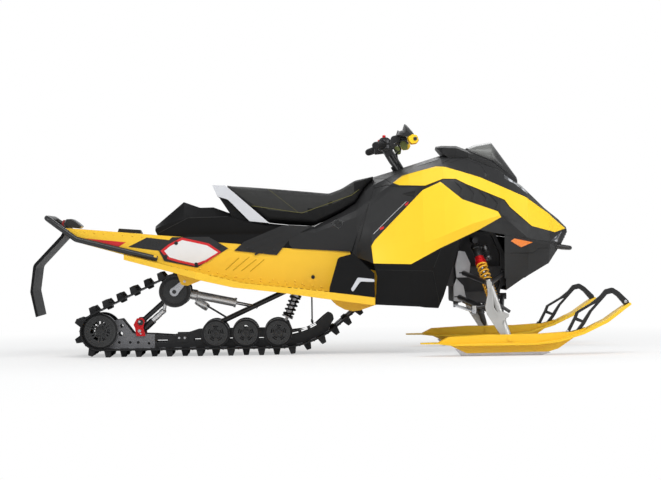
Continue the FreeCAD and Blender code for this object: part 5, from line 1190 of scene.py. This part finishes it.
# Areas thrown onto the bodywork: name, upper line, lower line, node and finish
AREAS = (
    ("vent_hole", mm((48, 650), (65, 665), (85, 653)), mm((48, 650), (62, 640), (85, 653)),
     "tank_cover", "gap"),
    ("intake_slot", mm((384, 791), (448, 805)), mm((405, 782), (439, 774)), "console", "gap"),
    ("strip_end_low", mm((270, 625), (291, 632)), mm((270, 612), (289, 618)), "console", "stripe"),
    ("strip_end_top", mm((394, 738), (414, 752)), mm((396, 730), (408, 736)), "console", "stripe"),
    # The nose slats take the lamp finish with its painted reflection
    ("nose_slats", mm((1130, 551), (1194, 596)), mm((1164, 543), (1186, 583)), "nose", "lamp"),
    ("hatch_lock", mm((794, 880), (797, 888), (804, 891), (811, 888), (814, 880)),
     mm((794, 880), (797, 872), (804, 869), (811, 872), (814, 880)), "hood", "dark_gloss"),
)

FILM_ROOT = 0.0002
SIDE_DOT_PLACE = mm(-840, -224, 496)
SIDE_DOT = mm((0, 8.5), (2.5, 8.5), (3.5, 6), (3.8, 0.5))
SLAT_HEIGHTS = (0.553, 0.566, 0.579, 0.592)
SLAT_REACH = 0.085
SLAT_HALF = 0.0034
SLAT_LIFT = 0.0006
SLAT_THICK = 0.002
SLOT_PITCH = 0.036
SLOT_PLACES = np.arange(-0.80, 0.0, SLOT_PITCH)
SLOT_BANDS = ((0.216, 0.262), (0.282, 0.328))
SLOT_HALF = 0.007
SLOT_LEAN = 0.010
SLOT_LIFT = 0.0008
SLOT_THICK = 0.001


def grille_slats(nose):
    """Level slats thrown back onto the nose."""
    slats = []
    for height in SLAT_HEIGHTS:
        line = np.array([(-SLAT_REACH, height), (SLAT_REACH, height)])
        flat = patch(line + (0, SLAT_HALF), line - (0, SLAT_HALF), 3, 40, "nose")
        slats.append(thrown("grille_slats", flat, nose, "nose", SLAT_LIFT))
    return joined(slats)


def board_slots(boards):
    """Slots in two rows along each running board, left out where they miss it."""
    slots = []
    for x in SLOT_PLACES:
        for inner, outer in SLOT_BANDS:
            line = np.array([(x, inner), (x + SLOT_LEAN, outer)])
            flat = patch(line - (SLOT_HALF, 0), line + (SLOT_HALF, 0), 3, 6, "top")
            slots.append(thrown("board_slots", flat, boards, "top", SLOT_LIFT))
    return twinned(joined([slot for slot in slots if len(slot[1])]))


class SNOW_OT_trim(bpy.types.Operator):
    """Stripes, blank plate fields, toe strips, panel lines, grille and board slots"""

    bl_idname = "snow.trim"
    bl_label = "Trim"

    def execute(self, context):
        made = finishes(context.scene.snow_colours)
        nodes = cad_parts
        for name, ring, finish, y, thick, bevel in FLATS:
            flat = slab(ring, -y - thick, -y + FILM_ROOT)
            piece(name, twinned(flat), made[finish], CHASSIS, smooth=False, bevel=bevel)
        dots = twinned(turned(SIDE_DOT, SIDE_DOT_PLACE))
        piece("side_dots", dots, made["sheet"], CHASSIS)
        for hand in HANDS:
            for name, line, width, node, finish in CONTOURS:
                film(name + "_" + hand, line, width, nodes[node], made[finish], hand)
            for name, top, low, node, finish in AREAS:
                film(name + "_" + hand, top, 0, nodes[node], made[finish], hand,
                     other=low, columns=24)
        for name, line, width, node, finish, view in MARKS:
            flip = (1, -1) if view == "top" else (-1, 1)
            film(name, line, width, nodes[node], made[finish], view)
            film(name + "_twin", line * flip, width, nodes[node], made[finish], view)
        # Grille slats and board slots are dark films: painted shade
        walled(piece("grille_slats", grille_slats(nodes["nose"]), made["gap"], CHASSIS), SLAT_THICK)
        walled(piece("board_slots", board_slots(nodes["running_boards"]), made["gap"], CHASSIS,
                     smooth=False), SLOT_THICK)
        return {"FINISHED"}


# Skid details: spokes are pairs on a wheel, the first pair's angle and the half angle of a pair

SPOKE_HUB = mm((0, 30), (6.8, 30), (6.8, 34), (0, 34))
REAR_SPOKES = (6, math.radians(30), 0.17)
MID_SPOKES = (5, math.radians(54), 0.20)
REAR_WHEELS_OVER = 0.08
SPOKE_FROM = 0.026
SPOKE_SHARE = 0.76
SPOKE_DEPTHS = (-0.1315, -0.1235)
SPOKE_HALF = 0.0028
SPOKE_HUB_DEPTH = -0.1238
COUPLER_FOOT, COUPLER_HEAD = mm((-917, -60, 128), (-808, -60, 228))
COUPLER_BODY = mm((0, 3), (1, 13.5), (12, 13.5), (14, 17), (68, 17), (70, 14), (72, 3))
COUPLER_TIP = mm((-6, 14), (0, 8), (0.6, 3))
COUPLER_ROD = mm((70, 3), (70.5, 12.5), (84, 14), (112, 14), (116, 11.8), (124, 11.8), (126, 14))
STRAP = ((-0.0665, -0.0625), (-0.096, -0.074), (0.150, 0.335))
STRAP_CLAMP = ((-0.0690, -0.0600), (-0.0965, -0.0735), (0.150, 0.166))
STAY_RADIUS = 0.0065
LINK_RADIUS = 0.0048
COUPLER_STAY = mm((-812, -60, 224), (-806, -60, 250), (-800, -62, 276))
DAMPER_LINK = mm((-596, 24, 244), (-540, 24, 210), (-486, 24, 176))
ROCKER_BOLTS = mm((-930, -100, 172), (-931, -100, 126))


def wheel_spokes():
    """Spokes in pairs, and the ring round the hub, of each wheel on the rails."""
    parts = []
    for x, z, radius in WHEELS:
        pairs, first, spread = REAR_SPOKES if radius > REAR_WHEELS_OVER else MID_SPOKES
        middle = 2 * np.pi / pairs * np.arange(pairs) + first
        rib = block((SPOKE_FROM, SPOKE_SHARE * radius), SPOKE_DEPTHS, (-SPOKE_HALF, SPOKE_HALF))
        turns = about_y(np.concatenate([middle - spread, middle + spread]))
        parts.append(copies(rib, np.tile((x, 0.0, z), (2 * pairs, 1)), turns))
        parts.append(hoop(SPOKE_HUB, (x, SPOKE_HUB_DEPTH, z), sides=36))
    return twinned(joined(parts))


class SNOW_OT_skid(bpy.types.Operator):
    """Spokes of the wheels, coupler cylinders, limiter straps and rocker bolts"""

    bl_idname = "snow.skid"
    bl_label = "Skid details"

    def execute(self, context):
        made = finishes(context.scene.snow_colours)
        piece("wheel_spokes", wheel_spokes(), made["dark_gloss"], CHASSIS, smooth=False)
        way, span = run_of(COUPLER_FOOT, COUPLER_HEAD)
        rod = np.vstack([COUPLER_ROD, COUPLER_TIP + (span, 0)])
        plunger = joined([turned(rod, COUPLER_FOOT, way), bar(COUPLER_STAY, STAY_RADIUS)])
        strap = joined([block(*STRAP), block(*STRAP_CLAMP)])
        bolts = screwed(bolt_head(*ROCKER_BOLT), ROCKER_BOLTS)
        piece("coupler_cylinders", twinned(turned(COUPLER_BODY, COUPLER_FOOT, way)), made["coat"],
              CHASSIS)
        piece("coupler_plungers", twinned(plunger), made["polish"], CHASSIS)
        piece("rear_damper_links", bar(DAMPER_LINK, LINK_RADIUS), made["coat"], CHASSIS)
        piece("limiter_straps", twinned(strap), made["rubber"], CHASSIS, smooth=False)
        piece("rocker_bolts", bolts, made["steel"], CHASSIS)
        return {"FINISHED"}


# Handlebar: the bar's right end and the direction from it inwards, then rings in the side view

BAR_END = mm(250, -370, 1026)
BAR_WAY = np.array([0.3100, 0.9475, 0.0775])
GRIP_RIBS = np.linspace(0.010, 0.112, 15)
GRIP_RIB = mm((-2.2, 16.2), (-1.4, 18.2), (1.4, 18.2), (2.2, 16.2))
GRIP_FLANGE = mm((117, 12), (117.5, 22.5), (121, 22.5), (121.5, 12))
CLAMP = mm((180, 11.6), (181, 18.5), (208, 18.5), (209, 11.6))
HOUSING = mm((273, 1006), (331, 1012), (334, 1056), (318, 1072), (281, 1070), (271, 1050))
HOUSING_SHARE = 0.159
MASTER = mm((322, 1030), (346, 1022), (378, 1036), (382, 1070), (366, 1084), (336, 1076))
LEVER = mm((360, -226, 1046), (376, -238, 1048), (378, -268, 1044), (364, -316, 1039),
           (346, -350, 1034), (338, -358, 1031))
LEVER_STEPS = 36
LEVER_RADII = np.linspace(0.0075, 0.0048, LEVER_STEPS)
LEVER_FLAT = 0.62
BUTTON_PLACE = mm(300, -222, 1068)
BUTTON = mm((0, 2), (1, 8.5), (12, 8.5), (15, 7), (16, 2))
KEY_CORNER = (0.276, 1.018)
KEY_PITCH = (0.017, 0.026)
KEY_SIZE = (0.013, 0.016)
RESERVOIR_CAP = mm((409, 1071), (430, 1083), (457, 1078), (467, 1051), (454, 1034), (427, 1031),
                   (413, 1047))
CAP_SCREW_PLACE = mm(446, -354, 1058)
CAP_SCREW = mm((0, 9.5), (3, 9.5), (4, 7.5), (4.2, 0.5))
GUARD = mm((358, 1078), (372, 1100), (388, 1104), (398, 1136), (410, 1128), (436, 1098), (458, 1066),
           (450, 1058), (420, 1074), (392, 1070))
GUARD_FOOT = mm(405, 1070)
GUARD_PAD = mm((374, 1047), (398, 1052), (414, 1034), (412, 1010), (396, 1006), (380, 1022))
RISER_REAR = mm((306, 30, 1026), (344, 28, 962), (380, 20, 912))
RISER_FRONT = mm((336, 34, 1034), (372, 30, 975), (398, 22, 930))

# Spans across the machine: housings from the housing's middle, the others from the centre plane
HOUSING_SPAN = np.array((-0.026, 0.026))
MASTER_SPAN = np.array((-0.030, 0.012))
PAD_SPAN = (-0.276, -0.240)
KEY_SPAN = (-0.2475, -0.2445)

# Fins: start, stop, widest place, shrink and stations
CAP_FIN = (-0.300, -0.354, 0.3, 0.22, 14)
GUARD_FIN = (-0.236, -0.348, 0.35, 0.5, 26)

# Radii of round bars
GUARD_STAY_RADIUS = 0.0085
BRAKE_LINE_RADIUS = 0.0036
RISER_RADII = (0.0085, 0.0070)

# Lines in space, from the right hand's side
GUARD_STAY = mm((372, -226, 1060), (392, -248, 1064), (414, -276, 1060))
BRAKE_LINE = mm((366, -206, 1040), (384, -160, 1022), (388, -96, 1012), (374, -46, 1002),
                (378, -30, 968), (386, -26, 940))


def fin_surface(ring, foot, start, stop, widest, shrink, stations):
    """A fin: a ring at even steps across, scaled about its foot by one minus shrink times the square of
    the step's distance from the widest place, and closed at both ends."""
    ring = leftward(ring)
    step = np.linspace(0, 1, stations)
    scale = 1 - shrink * ((step - widest) / max(widest, 1 - widest)) ** 2
    flat = foot + (ring[None] - foot) * scale[:, None, None]
    y = np.broadcast_to((start + (stop - start) * step)[:, None], flat.shape[:2])
    points = np.stack([flat[..., 0], y, flat[..., 1]], -1).reshape(-1, 3)
    return points, closed(stations, len(ring), reverse=stop < start)


class SNOW_OT_controls(bpy.types.Operator):
    """Grips, levers, switches, guards and reservoirs of the handlebar"""

    bl_idname = "snow.controls"
    bl_label = "Handlebar controls"

    def execute(self, context):
        made = finishes(context.scene.snow_colours)

        def held(name, part, finish, node=None, smooth=True, bevel=0.0):
            obj = piece(name, twinned(part), made[finish], "handlebar", smooth, bevel)
            if node:
                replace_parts(obj, node)

        ribs = [hoop(GRIP_RIB + (place, 0), BAR_END, BAR_WAY, 20) for place in GRIP_RIBS]
        flange = turned(GRIP_FLANGE, BAR_END, BAR_WAY, 28)
        held("grip_ribs", joined(ribs + [flange]), "rubber")

        middle = (BAR_END + BAR_WAY * HOUSING_SHARE)[1]
        held("control_housings", slab(rounded(HOUSING, 0.010), *(middle + HOUSING_SPAN)), "dark",
             "controls", bevel=0.0035)
        held("master_cylinders", slab(rounded(MASTER, 0.007), *(middle + MASTER_SPAN)), "coat",
             "controls", bevel=0.003)
        held("control_clamps", turned(CLAMP, BAR_END, BAR_WAY), "cast", "controls")
        blade = bar(smooth_line(LEVER, LEVER_STEPS), LEVER_RADII, flat=LEVER_FLAT)
        held("levers", blade, "coat", "controls")
        knob = turned(BUTTON, BUTTON_PLACE, (0, 0, 1))
        held("stop_buttons", knob, "red")
        keys = []
        for i in range(3):
            for j in range(2):
                x, z = (KEY_CORNER[k] + KEY_PITCH[k] * step for k, step in enumerate((i, j)))
                keys.append(block((x, x + KEY_SIZE[0]), KEY_SPAN, (z, z + KEY_SIZE[1])))
        held("switch_keys", joined(keys), "frame_grey", smooth=False, bevel=0.001)

        cap = rounded(RESERVOIR_CAP, 0.006)
        held("reservoir_caps", fin_surface(cap, cap.mean(0), *CAP_FIN), "body",
             bevel=0.0015)
        shell = fin_surface(rounded(GUARD, 0.004), GUARD_FOOT, *GUARD_FIN)
        held("guard_shells", shell, "dark", "hand_guards")
        held("reservoir_screws", turned(CAP_SCREW, CAP_SCREW_PLACE), "dark_gloss")
        held("guard_stays", bar(smooth_line(GUARD_STAY, 12), GUARD_STAY_RADIUS), "coat")
        held("guard_pads", slab(rounded(GUARD_PAD, 0.006), *PAD_SPAN), "green",
             bevel=0.003)
        hose = bar(smooth_line(BRAKE_LINE, 60), BRAKE_LINE_RADIUS, sides=10)
        held("brake_lines", hose, "rubber")
        posts = [bar(*post, sides=10) for post in zip((RISER_REAR, RISER_FRONT), RISER_RADII)]
        held("riser_posts", joined(posts), "coat")
        return {"FINISHED"}


# Windshield stations, x, half width, top and base, and the tail lamp's rings in the side view

SCREEN = mm((730, 92, 1022, 1010), (772, 100, 1040, 990), (853, 92, 1052, 955), (905, 70, 980, 915),
            (981, 24, 875, 862))
SCREEN_ROWS = 48
SCREEN_COLUMNS = 33
SCREEN_POWER = 0.6
SCREEN_THICK = 0.003
TOP_TRIM = 0.0026
FOOT_TRIM = 0.0032
LAMP_HOUSING = mm((-1298, 650), (-1306, 668), (-1292, 690), (-1262, 691), (-1236, 674), (-1214, 654),
                  (-1226, 642))
HOUSING_HALF = 0.070
LENS_HALF = 0.060
LAMP_LENS = mm((-1309, 655), (-1316, 668), (-1308, 686), (-1296, 686), (-1302, 668), (-1296, 655))


def screen_surface():
    """The windshield: at each x an arch whose y is the half width times the sine of an angle, and whose
    height falls from the top to the base by a power of its cosine."""
    x = np.linspace(SCREEN[0, 0], SCREEN[-1, 0], SCREEN_ROWS)
    half, top, base = (np.interp(x, SCREEN[:, 0], column)[:, None] for column in SCREEN.T[1:])
    angle = np.linspace(-np.pi / 2, np.pi / 2, SCREEN_COLUMNS)[None]
    y = half * np.sin(angle)
    z = base + (top - base) * np.abs(np.cos(angle)) ** SCREEN_POWER
    return np.stack([np.broadcast_to(x[:, None], y.shape), y, z], -1)


class SNOW_OT_lamps(bpy.types.Operator):
    """Windshield with its edge trim, and the tail lamp's housing and lens"""

    bl_idname = "snow.lamps"
    bl_label = "Windshield and lamps"

    def execute(self, context):
        made = finishes(context.scene.snow_colours)
        grid = screen_surface()
        shell = (grid.reshape(-1, 3), [tuple(q) for q in lattice(SCREEN_ROWS, SCREEN_COLUMNS)])
        screen = piece("screen", shell, made["smoked"], CHASSIS)
        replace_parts(walled(screen, SCREEN_THICK, -1.0), "windshield")
        trim = joined([bar(grid[0], TOP_TRIM, sides=8), twinned(bar(grid[:, 0], FOOT_TRIM, sides=8))])
        piece("screen_trim", trim, made["dark_gloss"], CHASSIS)
        housing = piece("tail_lamp_housing", slab(rounded(LAMP_HOUSING, 0.006), -HOUSING_HALF, HOUSING_HALF),
                        made["dark_gloss"], CHASSIS, bevel=0.004)
        lens = piece("tail_lamp_lens", slab(rounded(LAMP_LENS, 0.003), -LENS_HALF, LENS_HALF),
                     made["lens_red"], CHASSIS, bevel=0.002)
        for part in (housing, lens):
            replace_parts(part, "tail_light")
        return {"FINISHED"}


# Ski details

SKI_MIDDLE = 0.540
SKI_RIDGES = (-0.046, -0.022, 0.022, 0.046)
RIDGE_ENDS = (0.62, 1.30)
RIDGE_WIDTH = 0.007
RIDGE_THICK = 0.004
PIN_BOLT_SPOT = np.array([(0.873, -SKI_MIDDLE - 0.0268, 0.081)])
LOOP_BOLT_SPOTS = np.array([(1.152, -SKI_MIDDLE - 0.0131, 0.112), (1.436, -SKI_MIDDLE - 0.0131, 0.252)])


class SNOW_OT_skis(bpy.types.Operator):
    """Ridges along the skis and the bolts of their pins and loops"""

    bl_idname = "snow.skis"
    bl_label = "Ski details"

    def execute(self, context):
        made = finishes(context.scene.snow_colours)
        for hand, side in zip(HANDS, (-1, 1)):
            ski = "ski_" + hand
            for k, offset in enumerate(SKI_RIDGES):
                line = np.array([(x, side * SKI_MIDDLE + offset) for x in RIDGE_ENDS])
                film("ski_ridge_{}_{}".format(k, hand), line, RIDGE_WIDTH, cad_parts[ski], made["ski"],
                     "top", thick=RIDGE_THICK, body=ski)
            for name, head, spots in (("ski_pin_bolt_", bolt_head(*SKI_PIN_BOLT), PIN_BOLT_SPOT),
                                      ("ski_loop_bolts_", bolt_head(*SKI_LOOP_BOLT), LOOP_BOLT_SPOTS)):
                part = copies(head, spots)
                piece(name + hand, part if side < 0 else mirrored(part), made["steel"], ski)
        return {"FINISHED"}


# Stage

# Lights: name, place, aim, size and power
LIGHTS = (
    ("key", (0.8, -3.2, 4.2), (0.1, 0, 0.5), (5.0, 2.2), 140),
    ("front", (4.2, -3.0, 1.8), (0.6, 0, 0.4), (2.0, 2.0), 48),
    ("rear", (-4.6, -2.4, 2.4), (-0.6, 0, 0.4), (2.0, 2.0), 45),
    ("back", (0.0, 4.0, 3.2), (0.0, 0, 0.5), (5.0, 2.0), 70),
)
FLOOR_REACH = 60.0
FLOOR_HEIGHT = -0.0005
FLOOR_FADE = (1.6, 3.6)
FLOOR_GREY = (0.86, 0.86, 0.86, 1)
LEAST_GLOW = 0.50
SKY = (0.96, 0.98, 1.0, 1)
SKY_STRENGTH = 0.50
WHITE = (1, 1, 1, 1)
SENSOR = 36
PHOTO_WIDTH = 661
FOCAL_LENGTH_IN_PIXELS = 2071
CAMERA_PLACE = Vector((-0.2625, -10.48, 0.5415))
CAMERA_AIM = Vector((0.034, 0.0, 0.568))
CAMERA_ROLL = math.radians(-0.78)


def placed(name, data):
    """An object of some data, linked to the scene."""
    obj = bpy.data.objects.new(name, data)
    bpy.context.scene.collection.objects.link(obj)
    return obj


def pointed(place, aim):
    """The turn that points a light or a camera from its place at its aim."""
    return (Vector(aim) - Vector(place)).to_track_quat("-Z", "Y")


def floor_finish():
    """The floor: to the camera half lit grey and half white glow near the machine, and all glow farther
    out, and to every other ray a lit grey."""
    material = bpy.data.materials.new("studio_floor")
    material.use_nodes = True
    tree = material.node_tree
    tree.nodes.clear()
    lit = add(tree, "ShaderNodeBsdfDiffuse", {"Color": FLOOR_GREY})
    glow = add(tree, "ShaderNodeEmission", {"Color": WHITE, "Strength": 1.0})
    place = add(tree, "ShaderNodeTexCoord").outputs["Object"]
    reach = add(tree, "ShaderNodeVectorMath", {0: place}, operation="LENGTH").outputs["Value"]
    fade = ranged(tree, reach, FLOOR_FADE, (LEAST_GLOW, 1.0), interpolation_type="SMOOTHSTEP")
    camera_ray = add(tree, "ShaderNodeLightPath").outputs["Is Camera Ray"]
    seen = add(tree, "ShaderNodeMath", {0: camera_ray, 1: fade}, operation="MULTIPLY").outputs[0]
    both = add(tree, "ShaderNodeMixShader", {0: seen, 1: lit.outputs[0], 2: glow.outputs[0]})
    out = add(tree, "ShaderNodeOutputMaterial")
    tree.links.new(both.outputs[0], out.inputs[0])
    return material


def studio_world():
    """Soft light from all round, and plain white where the camera sees it."""
    world = bpy.data.worlds.new("studio")
    world.use_nodes = True
    sky = world.node_tree
    sky.nodes.clear()
    ray = add(sky, "ShaderNodeLightPath").outputs
    seen = add(sky, "ShaderNodeMath", {0: ray["Is Camera Ray"], 1: ray["Is Transmission Ray"]},
               operation="MAXIMUM")
    soft = add(sky, "ShaderNodeBackground", {"Color": SKY, "Strength": SKY_STRENGTH})
    white = add(sky, "ShaderNodeBackground", {"Color": WHITE, "Strength": 1.0})
    both = add(sky, "ShaderNodeMixShader",
               {0: seen.outputs[0], 1: soft.outputs[0], 2: white.outputs[0]})
    out = add(sky, "ShaderNodeOutputWorld")
    sky.links.new(both.outputs[0], out.inputs[0])
    return world


class SNOW_OT_stage(bpy.types.Operator):
    """Floor, lights, world and camera"""

    bl_idname = "snow.stage"
    bl_label = "Stage"

    def execute(self, context):
        scene = context.scene
        scene.view_settings.view_transform = "Standard"
        mesh = bpy.data.meshes.new("floor")
        corners = [(x * FLOOR_REACH, y * FLOOR_REACH, FLOOR_HEIGHT)
                   for x, y in ((-1, -1), (1, -1), (1, 1), (-1, 1))]
        mesh.from_pydata(corners, [], [(0, 1, 2, 3)])
        mesh.materials.append(floor_finish())
        placed("floor", mesh)
        scene.world = studio_world()
        for name, place, aim, size, power in LIGHTS:
            lamp = bpy.data.lights.new(name, "AREA")
            lamp.shape = "RECTANGLE"
            lamp.size, lamp.size_y = size
            lamp.energy = power
            holder = placed(name, lamp)
            holder.location = place
            holder.rotation_euler = pointed(place, aim).to_euler()
        lens = bpy.data.cameras.new("camera")
        lens.lens = SENSOR * FOCAL_LENGTH_IN_PIXELS / PHOTO_WIDTH
        lens.sensor_width = SENSOR
        lens.sensor_fit = "HORIZONTAL"
        camera = placed("camera", lens)
        turn = pointed(CAMERA_PLACE, CAMERA_AIM).to_matrix().to_4x4()
        roll = Matrix.Rotation(CAMERA_ROLL, 4, "Z")
        camera.matrix_world = Matrix.Translation(CAMERA_PLACE) @ turn @ roll
        scene.camera = camera
        return {"FINISHED"}


class SNOW_PT_panel(bpy.types.Panel):
    """Lists the steps that dress the frame"""

    bl_idname = "SNOW_PT_panel"
    bl_label = "Snowmobile"
    bl_space_type = "VIEW_3D"
    bl_region_type = "UI"
    bl_category = "Snowmobile"

    def draw(self, context):
        for group in (context.scene.snow_colours, context.scene.snow_sizes):
            for name in group.__annotations__:
                self.layout.prop(group, name)
        for step in STEPS:
            self.layout.operator(step.bl_idname)


STEPS = (SNOW_OT_finishes, SNOW_OT_seat, SNOW_OT_shocks, SNOW_OT_track, SNOW_OT_wheels, SNOW_OT_skid,
         SNOW_OT_controls, SNOW_OT_lamps, SNOW_OT_skis, SNOW_OT_trim, SNOW_OT_stage)
CLASSES = (SnowmobileColours, SnowmobileSizes) + STEPS + (SNOW_PT_panel,)


def register():
    """Make the classes and the scene's properties known."""
    for cls in CLASSES:
        bpy.utils.register_class(cls)
    bpy.types.Scene.snow_colours = bpy.props.PointerProperty(type=SnowmobileColours)
    bpy.types.Scene.snow_sizes = bpy.props.PointerProperty(type=SnowmobileSizes)


def unregister():
    """Undo register."""
    del bpy.types.Scene.snow_sizes
    del bpy.types.Scene.snow_colours
    for cls in reversed(CLASSES):
        bpy.utils.unregister_class(cls)


def main():
    """Dress the frame step by step."""
    register()
    for step in STEPS:
        group, name = step.bl_idname.split(".")
        getattr(getattr(bpy.ops, group), name)()


if __name__ == "__main__":
    main()
